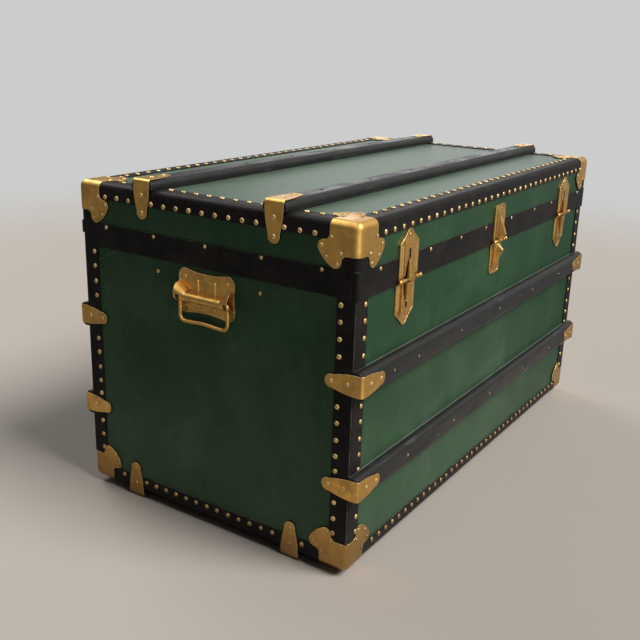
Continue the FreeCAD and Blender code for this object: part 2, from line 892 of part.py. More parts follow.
def raised_rim(x, half_width, root, tip, pointed, front):
    # The edge of a plate, pressed up all round but for its root
    way = 1 if tip > root else -1
    inset = way * catch_rim_width
    top = front - catch_rim_rise
    edge = catch_sheet(x, half_width, root, tip, pointed, front, top)
    inner = catch_sheet(x, half_width - catch_rim_width, root - inset, tip - inset, pointed,
                        front + catch_rim_rise, top - catch_rim_rise)
    return edge.cut(inner)


def flutes(x, half_width, root, tip, y, pointed):
    # Half-round ribs pressed along both sides of a plate
    way = 1 if tip > root else -1
    margin = side_catch_point if pointed else centre_catch_round
    length = abs(tip - root) - margin - flute_end
    ribs = []
    for side in (-1, 1):
        for count in range(2 if pointed else 1):
            offset = half_width - flute_inset - count * flute_pitch
            ribs.append(Part.makeCylinder(flute_radius, length,
                                          V(x + side * offset, y, root), V(0, 0, way)))
    return ribs


def ramped_boss(x, half_width, root, end, back, front):
    # A raised middle with its far end ramped down to the plate
    way = 1 if end > root else -1
    ramp = end - way * boss_end_length
    steps = [((front, root),), ((front, ramp),), ((back, end),), ((back, root),)]
    return profile((back, root), steps, side_plane(x - half_width), V(2 * half_width, 0, 0))


def lens(x, half_root, root, half_tip, tip, back, front):
    # Half of a pointed oval: widest at its root, bulging on its way to the tip
    middle = (root + tip) / 2
    bulge = half_root * bulge_share
    steps = [((x + bulge, middle), (x + half_tip, tip)), ((x - half_tip, tip),),
             ((x - bulge, middle), (x - half_root, root)), ((x + half_root, root),)]
    return profile((x + half_root, root), steps, front_plane(back), V(0, front - back, 0))


def bowed_side(x, reach, root, tip, back, root_y, tip_y):
    # The side view of a bowed leaf, pushed across the whole width
    middle = ((root_y + tip_y) / 2 - lever_bow * knuckle_radius, (root + tip) / 2)
    steps = [((root_y, root),), (middle, (tip_y, tip)), ((back, tip),), ((back, root),)]
    return profile((back, root), steps, side_plane(x - reach), V(2 * reach, 0, 0))


def dished_leaf(x, half_root, half_tip, root, tip, back, root_y, tip_y):
    # A pointed leaf with a bright rim: its face is dished inside the rim.
    way = 1 if tip > root else -1
    far = root_y - overrun
    body = bowed_side(x, half_root, root, tip, back, root_y, tip_y)
    body = body.common(lens(x, half_root, root, half_tip, tip, back, far))
    dish = bowed_side(x, half_root, root, tip, back, root_y + lever_dish, tip_y + lever_dish)
    inner = lens(x, half_root - lever_rim, root + way * 2 * knuckle_radius,
                 half_tip - lever_rim / 2, tip - way * lever_rim, back, far)
    return body.cut(inner.cut(dish))


def fin(x, rows, back):
    # A thin fin with a flat ridge, lofted through rows of (height, rise, foot, ridge)
    wires = []
    for height, rise, foot, ridge in rows:
        points = [V(x - foot, back, height), V(x - ridge, back - rise, height),
                  V(x + ridge, back - rise, height), V(x + foot, back, height)]
        wires.append(Part.makePolygon(points + points[:1]))
    return Part.makeLoft(wires, True, True)


def slotted_gap(x, half_width, root, tip, slot_end, back, front):
    # The dark opening round a leaf, with the square slot beyond its tip
    opening = lens(x, half_width * gap_share, root, slot_half_width, tip, back, front)
    slot = box(x - slot_half_width, x + slot_half_width, back, front, tip, slot_end)
    return opening.fuse(slot)


def knuckle(x0, x1, hole):
    barrel = Part.makeCylinder(knuckle_radius, x1 - x0, V(x0, pin_y, pin_height), V(1, 0, 0))
    bore = Part.makeCylinder(hole, x1 - x0 + 2 * overrun, V(x0 - overrun, pin_y, pin_height),
                             V(1, 0, 0))
    return barrel, bore


def catch_plate(x, half_width, tip, pointed):
    boss_end = tip - (side_catch_point if pointed else centre_catch_round) / 2
    root = catch_plate_foot
    plate = catch_sheet(x, half_width, root, tip, pointed, lid_panel_y, lid_plate_y)
    boss = ramped_boss(x, half_width * boss_share, root + boss_start, boss_end,
                       lid_plate_y, lid_boss_y)
    ribs = flutes(x, half_width, root + flute_start, tip, lid_plate_y, pointed)
    ribs.append(raised_rim(x, half_width, root + flute_start, tip, pointed, lid_plate_y))
    whole = union([plate, boss] + ribs)
    band = box(x - half_width - overrun, x + half_width + overrun, valance_y, 0,
               valance_foot, valance_head)
    whole = whole.cut(band)
    if pointed:
        gap = slotted_gap(x, half_width, root, side_lever_top + lever_clearance, slot_top,
                          lid_panel_y, lid_boss_y - overrun)
        whole = whole.cut(gap)
    return whole


def catch_base(x, half_width, tip, pointed):
    root = catch_plate_head
    boss_end = tip + (side_catch_point if pointed else centre_catch_round) / 2
    low = root - brass_thickness
    pieces = [
        catch_sheet(x, half_width, root, tip, pointed, panel_y, base_plate_y),
        ramped_boss(x, half_width * boss_share, root, boss_end, base_plate_y, base_boss_y),
        box(x - half_width, x + half_width, panel_y, strip_y - brass_thickness, low, root),
        box(x - half_width, x + half_width, strip_y, strip_y - brass_thickness,
            low, catch_strip_head),
    ]
    pieces += flutes(x, half_width, root, tip, base_plate_y, pointed)
    pieces.append(raised_rim(x, half_width, root, tip, pointed, base_plate_y))
    whole = union(pieces)
    if pointed:
        rib_y = base_boss_y - side_rib_rise
        gap = slotted_gap(x, half_width, catch_strip_head + overrun,
                          side_rib_foot - lever_clearance, lower_slot_foot,
                          panel_y, strip_y - overrun)
        web = box(x - side_rib_web, x + side_rib_web, panel_y, base_boss_y,
                  side_rib_foot, root)
        leaf_rib = dished_leaf(x, half_width * lever_share, slot_half_width, root,
                               side_rib_foot, base_boss_y, rib_y,
                               base_boss_y - lever_tip_thickness)
        whole = union([whole.cut(gap), web, leaf_rib])
    else:
        rows = [(centre_lower_end, lever_clearance, centre_ridge_half_width,
                 centre_tip_half_width),
                (centre_lower_apex, centre_lower_rise, centre_foot_half_width,
                 centre_ridge_half_width),
                (root, boss_rise, centre_foot_half_width, centre_ridge_half_width)]
        whole = union([whole, fin(x, rows, base_boss_y)])
    near, far = [share * half_width for share in knuckle_shares]
    sleeves = []
    bores = []
    for x0, x1 in ((x - far, x - near), (x + near, x + far)):
        barrel, bore = knuckle(x0, x1, pin_radius)
        step = box(x0, x1, strip_y - brass_thickness / 2, pin_y,
                   pin_height - knuckle_radius, catch_strip_head)
        sleeves += [barrel, step]
        bores.append(bore)
    whole = union([whole] + sleeves)
    for bore in bores:
        whole = whole.cut(bore)
    return whole


def catch_lever(x, half_width, pointed):
    half_root = half_width * lever_share
    barrel, bore = knuckle(x - half_root, x + half_root, pin_radius + running_clearance)
    if pointed:
        blade = dished_leaf(x, half_root, slot_half_width, pin_height, side_lever_top,
                            lever_y, knuckle_y + lever_set_in, lever_y - lever_tip_thickness)
    else:
        rows = [(pin_height + pin_radius, boss_rise, centre_foot_half_width,
                 centre_ridge_half_width),
                (centre_apex_height, centre_apex_rise, centre_foot_half_width,
                 centre_ridge_half_width),
                (centre_lever_top, lever_clearance, centre_ridge_half_width,
                 centre_tip_half_width)]
        blade = fin(x, rows, lever_y)
    return union([blade, barrel]).cut(bore)


def catch_pin(x, half_width):
    length = half_width + pin_overhang
    rod = Part.makeCylinder(pin_radius, 2 * length, V(x - length, pin_y, pin_height),
                            V(1, 0, 0))
    balls = [Part.makeSphere(ball_radius, V(x + side * length, pin_y, pin_height))
             for side in (-1, 1)]
    return union([rod] + balls)


def build_catches():
    catches = [("left", -side_catch_offset, side_catch_width, side_catch_top,
                side_catch_bottom, True),
               ("centre", 0, centre_catch_width, centre_catch_top, centre_catch_bottom, False),
               ("right", side_catch_offset, side_catch_width, side_catch_top,
                side_catch_bottom, True)]
    for name, x, width, top, bottom, pointed in catches:
        half = width / 2
        export(name + "_catch_plate", catch_plate(x, half, top, pointed))
        export(name + "_catch_base", catch_base(x, half, bottom, pointed))
        export(name + "_catch_pin", catch_pin(x, half))
        export(name + "_catch_lever", catch_lever(x, half, pointed))


# Hinges on the back: cranked leaves, five knuckles and a stop lug on the lid's leaf

hinge_y = lid_half_depth + hinge_stand_off + hinge_knuckle_radius


def hinge_barrel(x0, x1, bore_radius):
    barrel = Part.makeCylinder(hinge_knuckle_radius, x1 - x0, V(x0, hinge_y, seam_height),
                               V(1, 0, 0))
    bore = Part.makeCylinder(bore_radius, x1 - x0 + 2 * overrun,
                             V(x0 - overrun, hinge_y, seam_height), V(1, 0, 0))
    return barrel, bore


def leaf(x0, x1, root_y, far_y, way, crank_start):
    # A cranked strip from the barrel to the panel; way is 1 for up, -1 for down.
    t = hinge_leaf_thickness
    crank = seam_height + way * crank_start
    end = seam_height + way * (hinge_leaf_height + hinge_knuckle_radius)
    bend = crank + way * hinge_crank_height
    root = seam_height + way * hinge_pin_radius
    steps = [((root_y, crank),), ((far_y, bend),), ((far_y, end),), ((far_y + t, end),),
             ((far_y + t, bend),), ((root_y + t, crank),), ((root_y + t, root),),
             ((root_y, root),)]
    return profile((root_y, root), steps, plane(V(x0, 0, 0), V(0, 1, 0), V(0, 0, 1)),
                   V(x1 - x0, 0, 0))


def build_hinges():
    body_leaves = []
    lid_leaves = []
    pins = []
    share = hinge_width / 5
    root_y = lid_half_depth + hinge_stand_off
    for count in (-1, 0, 1):
        centre = count * hinge_spacing
        low = centre - hinge_width / 2
        ranges = [(low + index * share, low + (index + 1) * share) for index in range(5)]
        body_ranges = ranges[0::2]
        lid_ranges = ranges[1::2]
        bore_radius = hinge_pin_radius + running_clearance
        body_leaf = leaf(low, low + hinge_width, root_y, skin_half_depth, -1,
                         hinge_knuckle_radius)
        lid_leaf = leaf(low, low + hinge_width, lid_half_depth, lid_skin_half_depth, 1,
                        valance_head - seam_height)
        body_parts = [body_leaf]
        lid_parts = [lid_leaf]
        bores = []
        for x0, x1 in body_ranges:
            barrel, bore = hinge_barrel(x0 + hinge_knuckle_gap, x1 - hinge_knuckle_gap,
                                        bore_radius)
            body_parts.append(barrel)
            bores.append(bore)
        for x0, x1 in lid_ranges:
            barrel, bore = hinge_barrel(x0 + hinge_knuckle_gap, x1 - hinge_knuckle_gap,
                                        bore_radius)
            lug = box(x0 + hinge_knuckle_gap, x1 - hinge_knuckle_gap, hinge_y,
                      hinge_y + hinge_knuckle_radius + hinge_stop_length,
                      seam_height, seam_height + hinge_stop_thickness)
            lid_parts += [barrel, lug]
            bores.append(bore)
        reach = hinge_knuckle_radius + hinge_knuckle_gap

        def clear(x0, x1):
            return Part.makeCylinder(reach, x1 - x0, V(x0, hinge_y, seam_height), V(1, 0, 0))

        body_whole = union(body_parts)
        for x0, x1 in lid_ranges:
            body_whole = body_whole.cut(clear(x0, x1))
        lid_whole = union(lid_parts)
        for x0, x1 in body_ranges:
            lid_whole = lid_whole.cut(clear(x0, x1))
        for bore in bores:
            body_whole = body_whole.cut(bore)
            lid_whole = lid_whole.cut(bore)
        body_leaves.append(body_whole)
        lid_leaves.append(lid_whole)
        length = hinge_width + 2 * hinge_pin_head
        start = V(low - hinge_pin_head, hinge_y, seam_height)
        rod = Part.makeCylinder(hinge_pin_radius, length, start, V(1, 0, 0))
        heads = [Part.makeCylinder(hinge_pin_radius + hinge_pin_head, hinge_pin_head,
                                   V(x, hinge_y, seam_height), V(1, 0, 0))
                 for x in (low - hinge_pin_head, low + hinge_width)]
        pins.append(union([rod] + heads))
    export("hinge_body_leaves", body_leaves)
    export("hinge_lid_leaves", lid_leaves)
    export("hinge_pins", pins)


os.makedirs("parts", exist_ok=True)
build_body_boards()
build_lid_boards()
build_bindings()
build_valance()
build_slats()
build_corners()
build_handles()
build_catches()
build_hinges()
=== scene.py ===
import math
import random

import bmesh
import bpy
from bpy.props import FloatProperty, FloatVectorProperty, IntProperty, PointerProperty
from mathutils import Matrix, Vector


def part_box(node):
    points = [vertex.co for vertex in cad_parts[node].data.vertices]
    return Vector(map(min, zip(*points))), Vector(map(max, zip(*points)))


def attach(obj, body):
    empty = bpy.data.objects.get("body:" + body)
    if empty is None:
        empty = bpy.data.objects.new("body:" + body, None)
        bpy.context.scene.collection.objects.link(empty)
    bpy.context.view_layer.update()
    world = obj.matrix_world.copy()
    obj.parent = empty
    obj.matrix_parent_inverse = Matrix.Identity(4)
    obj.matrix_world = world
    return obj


bl_info = {
    "name": "Travel trunk dressing",
    "version": (1, 0, 0),
    "blender": (4, 5, 0),
    "location": "3D View > Sidebar > Trunk",
    "description": "Finishes, nails and studio for a fibre-covered travel trunk",
    "category": "Object",
}

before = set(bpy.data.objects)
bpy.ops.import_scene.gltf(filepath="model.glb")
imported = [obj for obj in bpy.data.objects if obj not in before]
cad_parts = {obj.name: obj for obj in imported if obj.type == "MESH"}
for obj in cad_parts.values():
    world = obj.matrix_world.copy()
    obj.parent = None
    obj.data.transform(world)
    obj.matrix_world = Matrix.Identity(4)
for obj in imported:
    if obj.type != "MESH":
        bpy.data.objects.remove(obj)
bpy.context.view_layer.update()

MM = 0.001
SIDES = {
    "-X": Vector((-1, 0, 0)), "+X": Vector((1, 0, 0)),
    "-Y": Vector((0, -1, 0)), "+Y": Vector((0, 1, 0)),
    "-Z": Vector((0, 0, -1)), "+Z": Vector((0, 0, 1)),
}


def face(node, side):
    """Height of a node's outermost face on one side, along that side's axis."""
    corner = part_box(node)[0 if side[0] == "-" else 1]
    return corner["XYZ".index(side[1])]


# Shader maths


class Channel:
    """One output of a finish's nodes. Arithmetic on it adds Math nodes."""

    def __init__(self, finish, socket):
        self.finish = finish
        self.socket = socket

    def _math(self, operation, first, second):
        return self.finish.node("ShaderNodeMath", {"operation": operation},
                                {0: first, 1: second})

    def __add__(self, other):
        return self._math("ADD", self, other)

    def __radd__(self, other):
        return self._math("ADD", other, self)

    def __sub__(self, other):
        return self._math("SUBTRACT", self, other)

    def __rsub__(self, other):
        return self._math("SUBTRACT", other, self)

    def __mul__(self, other):
        return self._math("MULTIPLY", self, other)

    def __rmul__(self, other):
        return self._math("MULTIPLY", other, self)

    def __abs__(self):
        return self._math("ABSOLUTE", self, 0.0)


class Finish:
    """A node tree that is built up by calls, for a material or the world."""

    def __init__(self, owner):
        self.owner = owner
        owner.use_nodes = True
        self.tree = owner.node_tree
        self.tree.nodes.clear()

    @classmethod
    def named(cls, name):
        return cls(bpy.data.materials.new(name))

    def node(self, kind, settings=None, sockets=None, out=0):
        """Adds a node: first its settings, then the values or links of its sockets."""
        made = self.tree.nodes.new(kind)
        for name, value in (settings or {}).items():
            setattr(made, name, value)
        for name, value in (sockets or {}).items():
            if isinstance(value, Channel):
                self.tree.links.new(value.socket, made.inputs[name])
            else:
                made.inputs[name].default_value = value
        return Channel(self, made.outputs[out]) if made.outputs else None

    def place(self):
        """Where a point lies on the trunk, in metres."""
        return self.node("ShaderNodeTexCoord", out="Object")

    def scaled(self, place, by):
        return self.node("ShaderNodeVectorMath", {"operation": "MULTIPLY"},
                         {0: place, 1: by})

    def shifted(self, place, by):
        return self.node("ShaderNodeVectorMath", {"operation": "ADD"},
                         {0: place, 1: by})

    def along(self, place, axis):
        return self.node("ShaderNodeSeparateXYZ", None, {0: place}, out=axis)

    def noise(self, place, scale, detail=4.0, roughness=0.5, distortion=0.0,
              out="Fac"):
        return self.node("ShaderNodeTexNoise", None, {
            "Vector": place, "Scale": scale, "Detail": detail,
            "Roughness": roughness, "Distortion": distortion}, out=out)

    def between(self, value, low, high):
        """0 below low, 1 above high, and a smooth step between them."""
        return self.node("ShaderNodeMapRange", {"interpolation_type": "SMOOTHSTEP"},
                         {"Value": value, "From Min": low, "From Max": high})

    def past(self, vector, axis, zone):
        """0 where the vector is short of a zone along one axis, 1 where it is past
        it. zone is (start, end)."""
        return self.between(self.along(vector, axis), *zone)

    def larger(self, first, second):
        return self.node("ShaderNodeMath", {"operation": "MAXIMUM"},
                         {0: first, 1: second})

    def dot(self, first, second):
        return self.node("ShaderNodeVectorMath", {"operation": "DOT_PRODUCT"},
                         {0: first, 1: second}, out="Value")

    def blend(self, share, first, second):
        """Two colours mixed by share. Each is a channel or a plain colour."""
        first, second = [hue if isinstance(hue, Channel) else rgba(hue)
                         for hue in (first, second)]
        # Sockets 6 and 7 and output 2 are those for colours
        return self.node("ShaderNodeMix", {"data_type": "RGBA"},
                         {0: share, 6: first, 7: second}, out=2)

    def hairlines(self, place, scale, width, spread, seed):
        """Curved scratches, width metres wide, where a noise is above spread."""
        # How far a scratch bends, and how softly it ends
        bend, fade = 0.35, 0.06
        start = self.shifted(place, seed)
        swing = self.noise(start, scale * 0.55, 1.0, out="Color")
        warped = self.node("ShaderNodeVectorMath", {"operation": "MULTIPLY_ADD"},
                           {0: swing, 1: (bend, bend, bend), 2: start})
        gap = self.node("ShaderNodeTexVoronoi", {"feature": "DISTANCE_TO_EDGE"},
                        {"Vector": warped, "Scale": scale}, out="Distance")
        line = 1.0 - self.between(gap, 0.0, width * scale)
        where = self.between(self.noise(start, scale * 1.3, 3.0), spread,
                             spread + fade)
        return line * where

    def plain_normal(self):
        return self.node("ShaderNodeNewGeometry", out="Normal")

    def softened(self, radius):
        """The surface normal with each edge rounded by radius."""
        return self.node("ShaderNodeBevel", {"samples": 4}, {"Radius": radius})

    def edges(self, radius, low=0.80, high=0.97):
        """1 on edges within about radius, 0 on open faces."""
        alike = self.dot(self.softened(radius), self.plain_normal())
        return 1.0 - self.between(alike, low, high)

    def crevices(self, distance, low=0.30, high=0.95):
        """1 close beside what stands on the surface, 0 in the open."""
        open_air = self.node("ShaderNodeAmbientOcclusion", {"samples": 6},
                             {"Distance": distance}, out="AO")
        return 1.0 - self.between(open_air, low, high)

    def raised(self, height, normal=None):
        """Bumped normal for a height given in millimetres."""
        sockets = {"Height": height, "Distance": MM, "Strength": 1.0}
        if normal is not None:
            sockets["Normal"] = normal
        return self.node("ShaderNodeBump", None, sockets)

    def ray(self, kind):
        return self.node("ShaderNodeLightPath", out=kind)

    def looked_at(self):
        """1 for what the camera sees, straight or through glass."""
        return self.larger(self.ray("Is Camera Ray"), self.ray("Is Transmission Ray"))

    def facing(self, axis, low=0.5, high=0.9):
        """1 where the surface faces up the axis, 0 where it turns away from it."""
        return self.past(self.plain_normal(), axis, (low, high))

    def coat(self, sockets):
        """Closes a material with its surface and gives the material back."""
        surface = self.node("ShaderNodeBsdfPrincipled", None, sockets)
        self.node("ShaderNodeOutputMaterial", None, {"Surface": surface})
        return self.owner


def rgba(colour):
    return (*colour, 1.0)


def wear(slot_name, material):
    """Gives a material to each CAD node that takes its finish from that slot."""
    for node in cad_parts.values():
        for slot in node.material_slots:
            if slot.material and slot.material.name == slot_name:
                slot.material = material


# Sizes and colours that a user would change


def colour(name, description, default):
    return FloatVectorProperty(name=name, description=description, default=default,
                               min=0.0, max=1.0, size=3, subtype="COLOR")


def length(name, description, millimetres):
    return FloatProperty(name=name, description=description,
                         default=millimetres * MM, min=0.0, unit="LENGTH")


class TrunkColours(bpy.types.PropertyGroup):
    """Colours of the trunk's finishes"""

    fibre: colour("Fibre", "Green of the fibre sheets", (0.0115, 0.051, 0.0180))
    fibre_pale: colour("Fibre, faded", "Green where the sheets have faded",
                       (0.027, 0.078, 0.031))
    # Painted shade: a deeper green towards the +X end
    fibre_far_shade: colour("Fibre, deep", "Green where the sheets were sheltered",
                       (0.007, 0.030, 0.011))
    # Also paints the pale veil of floor reflection on the sheets
    chalk_and_sheen: colour("Chalky scuffs", "Rubbed marks on the sheets",
                  (0.34, 0.40, 0.34))
    # Dust, and a painted sheen, on the top of the lid
    top_dust_and_sheen: colour("Dust on top", "Haze of dust on the lid", (0.44, 0.47, 0.44))
    # Painted shade beside what stands on the sheets
    green_crevice_shade: colour("Dirt on green", "Dirt beside what stands on the sheets",
                       (0.006, 0.008, 0.006))
    # Painted shade seen through the slots of the catches
    slot_shade: colour("Slots", "Dark in the slots of the catches",
                      (0.002, 0.002, 0.002))
    binding: colour("Bindings", "Black of the bindings", (0.0100, 0.0086, 0.0078))
    binding_grey: colour("Bindings, greyed", "Paler patches of the bindings",
                         (0.0200, 0.0170, 0.0155))
    binding_worn: colour("Bindings, worn", "Rubbed edges of the bindings",
                         (0.075, 0.078, 0.062))
    # Rubbing, and a painted highlight, on the cut edges that look up
    binding_ledge_wear_and_highlight: colour("Bindings, cut edges", "Cut edges that look up",
                          (0.20, 0.215, 0.17))
    binding_arris: colour("Bindings, corners", "Rubbed line of the folded corners",
                          (0.15, 0.135, 0.105))
    # Painted shade in the corners of the black parts
    black_crevice_shade: colour("Dirt on black", "Dirt in the corners of the black parts",
                       (0.003, 0.003, 0.003))
    slat: colour("Slats", "Black paint on the slats", (0.0105, 0.0098, 0.0092))
    slat_grey: colour("Slats, greyed", "Paler patches of the slats",
                      (0.0155, 0.0145, 0.0138))
    slat_streak: colour("Slats, streaks", "Rubbed streaks along the slats",
                        (0.16, 0.155, 0.155))
    slat_worn: colour("Slats, worn", "Bare wood on the slats' edges",
                      (0.11, 0.085, 0.055))
    # Dust and painted highlight along the slats' upper edges
    slat_dust_and_highlight: colour("Slats, dust", "Dust where the slats meet the walls",
                      (0.34, 0.36, 0.31))
    brass: colour("Brass", "Polished brass", (0.78, 0.435, 0.108))
    # Rubbed edges, with a painted highlight along the rims
    brass_rim_wear_and_highlight: colour("Brass, rims", "Rubbed edges of the brass", (0.97, 0.76, 0.36))
    brass_dull: colour("Brass, tarnished", "Tarnish on the brass",
                       (0.32, 0.190, 0.066))
    # Painted shade in the deep corners of the brass
    brass_hollow_shade: colour("Brass, hollows", "Brown of the deep corners of the brass",
                         (0.135, 0.100, 0.055))
    # Dirt and painted shade beside the edges of the brass
    brass_dirt_and_shade: colour("Brass, dirt", "Dirt beside the edges of the brass",
                       (0.050, 0.040, 0.026))
    nail: colour("Nails", "Brighter brass of the nails", (0.85, 0.58, 0.24))
    tack: colour("Slat tacks", "Pale tacks along the slats", (0.62, 0.50, 0.30))
    board: colour("Boards", "Bare wood of the walls", (0.42, 0.27, 0.14))
    board_grain: colour("Board grain", "Dark lines in the wood",
                        (0.22, 0.12, 0.055))
    board_aged: colour("Boards, aged", "Darkened patches of the wood",
                       (0.13, 0.085, 0.045))
    lining: colour("Lining", "Cloth lining", (0.46, 0.39, 0.28))
    lining_slub: colour("Lining slubs", "Thick threads of the lining",
                        (0.30, 0.25, 0.17))
    lining_stain: colour("Lining stains", "Age marks on the lining",
                         (0.27, 0.20, 0.12))
    # Painted shade in the corners of the lining
    lining_corner_shade: colour("Lining corners", "Grime in the corners of the lining",
                          (0.12, 0.09, 0.06))


class TrunkNails(bpy.types.PropertyGroup):
    """Sizes of the nails, tacks and rivets"""

    nail_radius: length("Nail radius", "Domed nails along the bindings", 3.9)
    nail_height: length("Nail height", "Height of a domed nail", 2.3)
    tack_radius: length("Tack radius", "Small tacks and corner nails", 2.9)
    tack_height: length("Tack height", "Height of a small tack", 1.5)
    flat_radius: length("Slat tack radius", "Flat tacks along the slats", 2.4)
    flat_height: length("Slat tack height", "Height of a slat tack", 0.8)
    stray: length("Stray", "How far a nail sits off its row", 0.45)
    lean: FloatProperty(name="Lean", description="How far a nail leans over",
                        default=math.radians(5.0), subtype="ANGLE")
    rounds: IntProperty(name="Steps round", description="Facets round a nail head",
                        default=20, min=8, max=64)


class TrunkStudio(bpy.types.PropertyGroup):
    """Floor, light and camera"""

    floor: colour("Floor", "Plain pale floor", (0.475, 0.423, 0.371))
    backdrop: colour("Backdrop", "Pale background", (0.60, 0.608, 0.604))
    floor_radius: length("Floor radius", "Size of the floor", 14000.0)
    sweep_start: length("Sweep start", "Where the floor starts to fade", 1500.0)
    sweep_end: length("Sweep end", "Where the floor has faded", 3200.0)
    key_strength: FloatProperty(name="Key", description="Strength of the key light",
                                default=3.5, min=0.0)
    spread: FloatProperty(name="Spread", description="Width of the key and the rear",
                          default=math.radians(30.0), subtype="ANGLE")
    key_from: FloatVectorProperty(name="Key from", description="Where the key is",
                                  default=(0.12, -0.72, 0.85), subtype="DIRECTION")
    rear_strength: FloatProperty(name="Rear", description="Strength of the rear light",
                                 default=0.9, min=0.0)
    rear_from: FloatVectorProperty(name="Rear from", description="Where the rear is",
                                   default=(0.30, 0.90, 0.80), subtype="DIRECTION")
    fill: FloatProperty(name="Fill", description="Light from all round",
                        default=0.03, min=0.0)
    camera_place: FloatVectorProperty(
        name="Camera place", description="Where the camera stands",
        default=(-1.33895, -0.78140, 0.71354), subtype="TRANSLATION")
    camera_turn: FloatProperty(name="Turn", description="Turn about the upright axis",
                               default=math.radians(-56.79559), subtype="ANGLE")
    camera_dip: FloatProperty(name="Dip", description="How far it looks down",
                              default=math.radians(17.848226), subtype="ANGLE")
    camera_roll: FloatProperty(name="Roll", description="Roll of the camera",
                               default=math.radians(1.735184), subtype="ANGLE")
    camera_lens: FloatProperty(name="Lens", description="Focal length in millimetres",
                               default=49.44956, subtype="DISTANCE_CAMERA")


# Finishes

# Zones along an axis, in metres, in which a mark of a finish fades in or out
SCUFFED = (0.04, 0.36)       # Z, above it the sheets are less faded and rubbed, and show less painted reflection of the floor
FAR_SHADE_ZONE = (-0.10, 0.40)    # X, past it the sheets get a deeper green, painted shade
BRASS_DULLER_LOW = (0.02, 0.11)     # Z, above it the brass is bright
LEDGES = (0.470, 0.474)      # Z, above it the bindings' cut edges stay black
CORNERS = (0.400, 0.402)     # Z, above it the bindings have no folded corner
SLOTS = ((0.352, 0.356), (0.462, 0.466))     # Z, where the catches' slots start and end
SEAM = ((0.394, 0.396), (0.4196, 0.4202))    # Z, the bare sheet below the seam
SLOT_DEPTH = (-0.240, -0.235)                # Y, past it is no slot


class TRUNK_OT_green_fibre(bpy.types.Operator):
    """Finish the sheets of green vulcanised fibre"""

    bl_idname = "trunk.green_fibre"
    bl_label = "Green fibre"

    def execute(self, context):
        tints = context.scene.trunk_colours
        finish = Finish.named("green_fibre_sheet")
        place = finish.place()
        upright = finish.scaled(place, (1.0, 1.0, 0.09))
        clouds = finish.noise(place, 11.0, 6.0, 0.62)
        streaks = finish.noise(upright, 150.0, 4.0, 0.6)
        grain = finish.noise(place, 1300.0, 2.0)
        # Low down the sheets are paler and more rubbed: fading and rubbing where a
        # trunk meets shoes and carts, and a painted reflection of the floor
        low = 1.0 - finish.past(place, "Z", SCUFFED)
        far_shade = finish.past(place, "X", FAR_SHADE_ZONE)
        tone = finish.between(clouds * 0.78 + streaks * 0.22 + low * 0.10
                              - far_shade * 0.07, 0.40, 0.68)
        hue = finish.blend(tone, tints.fibre, tints.fibre_pale)
        rubbed = finish.between(
            finish.noise(place, 8.0, 9.0, 0.66, 0.6) + low * 0.10, 0.56, 0.80)
        dust = finish.between(finish.noise(place, 420.0, 3.0, 0.7), 0.55, 0.75)
        # Painted shade: a deeper green towards the +X end, more of it low down
        hue = finish.blend(far_shade * (0.30 + 0.22 * low), hue, tints.fibre_far_shade)
        # A pale veil, most of it low down: some dust, and a painted reflection of the
        # floor
        dust_and_floor_sheen = (1.0 - far_shade) * (0.012 + low * 0.045)
        hue = finish.blend(rubbed * (0.08 + dust * 0.14) + dust_and_floor_sheen, hue, tints.chalk_and_sheen)
        lines = finish.hairlines(place, 2.6, 0.44 * MM, 0.58, (0.3, 0.1, 0.7))
        fine = finish.hairlines(place, 9.0, 0.30 * MM, 0.59, (0.8, 0.5, 0.2))
        marks = (lines * 0.46 + fine * 0.24) * (0.80 + 0.60 * low)
        hue = finish.blend(marks, hue, tints.chalk_and_sheen)
        # A pale haze on the top of the lid: dust, and a painted sheen for its
        # reflection of the light
        dust_and_sheen = finish.facing("Z") * (0.09 + 0.08 * clouds)
        hue = finish.blend(dust_and_sheen, hue, tints.top_dust_and_sheen)
        specks = finish.node("ShaderNodeTexVoronoi", {"feature": "F1"},
                             {"Vector": place, "Scale": 42.0}, out="Distance")
        chips = (1.0 - finish.between(specks, 0.030, 0.050)) * finish.between(
            finish.noise(place, 15.0, 2.0), 0.60, 0.64)
        hue = finish.blend(chips * 0.75, hue, tints.chalk_and_sheen)
        # Painted shade beside what stands on the sheet, and painted dark shade in the
        # slots behind the catches
        hue = finish.blend(0.35 * finish.crevices(6.0 * MM), hue, tints.green_crevice_shade)
        hue = finish.blend(behind_catches(finish, place), hue, tints.slot_shade)
        rough = 0.34 + 0.14 * clouds + 0.16 * rubbed + 0.15 * marks
        waves = finish.noise(place, 5.0, 2.0)
        height = (waves * 1.1 + streaks * 0.010 + grain * 0.010 - marks * 0.05)
        normal = finish.raised(height, finish.softened(0.4 * MM))
        material = finish.coat({
            "Base Color": hue, "Roughness": rough, "Normal": normal,
            "Specular IOR Level": 0.11, "Coat Weight": 0.07, "Coat Roughness": 0.20,
        })
        wear("green_fibre", material)
        return {"FINISHED"}


def behind_catches(finish, place):
    """1 under the catch plates, where the sheet is painted dark as shade that shows
    only through their slots.
    """
    across = finish.along(place, "X")
    front = 1.0 - finish.past(place, "Y", SLOT_DEPTH)
    # Not from the base up to the seam, which is bare when the lid is open
    seam, tall = [finish.past(place, "Z", start) * (1.0 - finish.past(place, "Z", end))
                  for start, end in (SEAM, SLOTS)]
    near = 0.0
    for node in ("left_catch_base", "centre_catch_base", "right_catch_base"):
        low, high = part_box(node)
        half = (high.x - low.x) / 2 * 0.35
        away = abs(across - (low.x + high.x) / 2)
        near = near + (1.0 - finish.between(away, half, half + 2.0 * MM))
    return near * (tall * (1.0 - seam)) * front


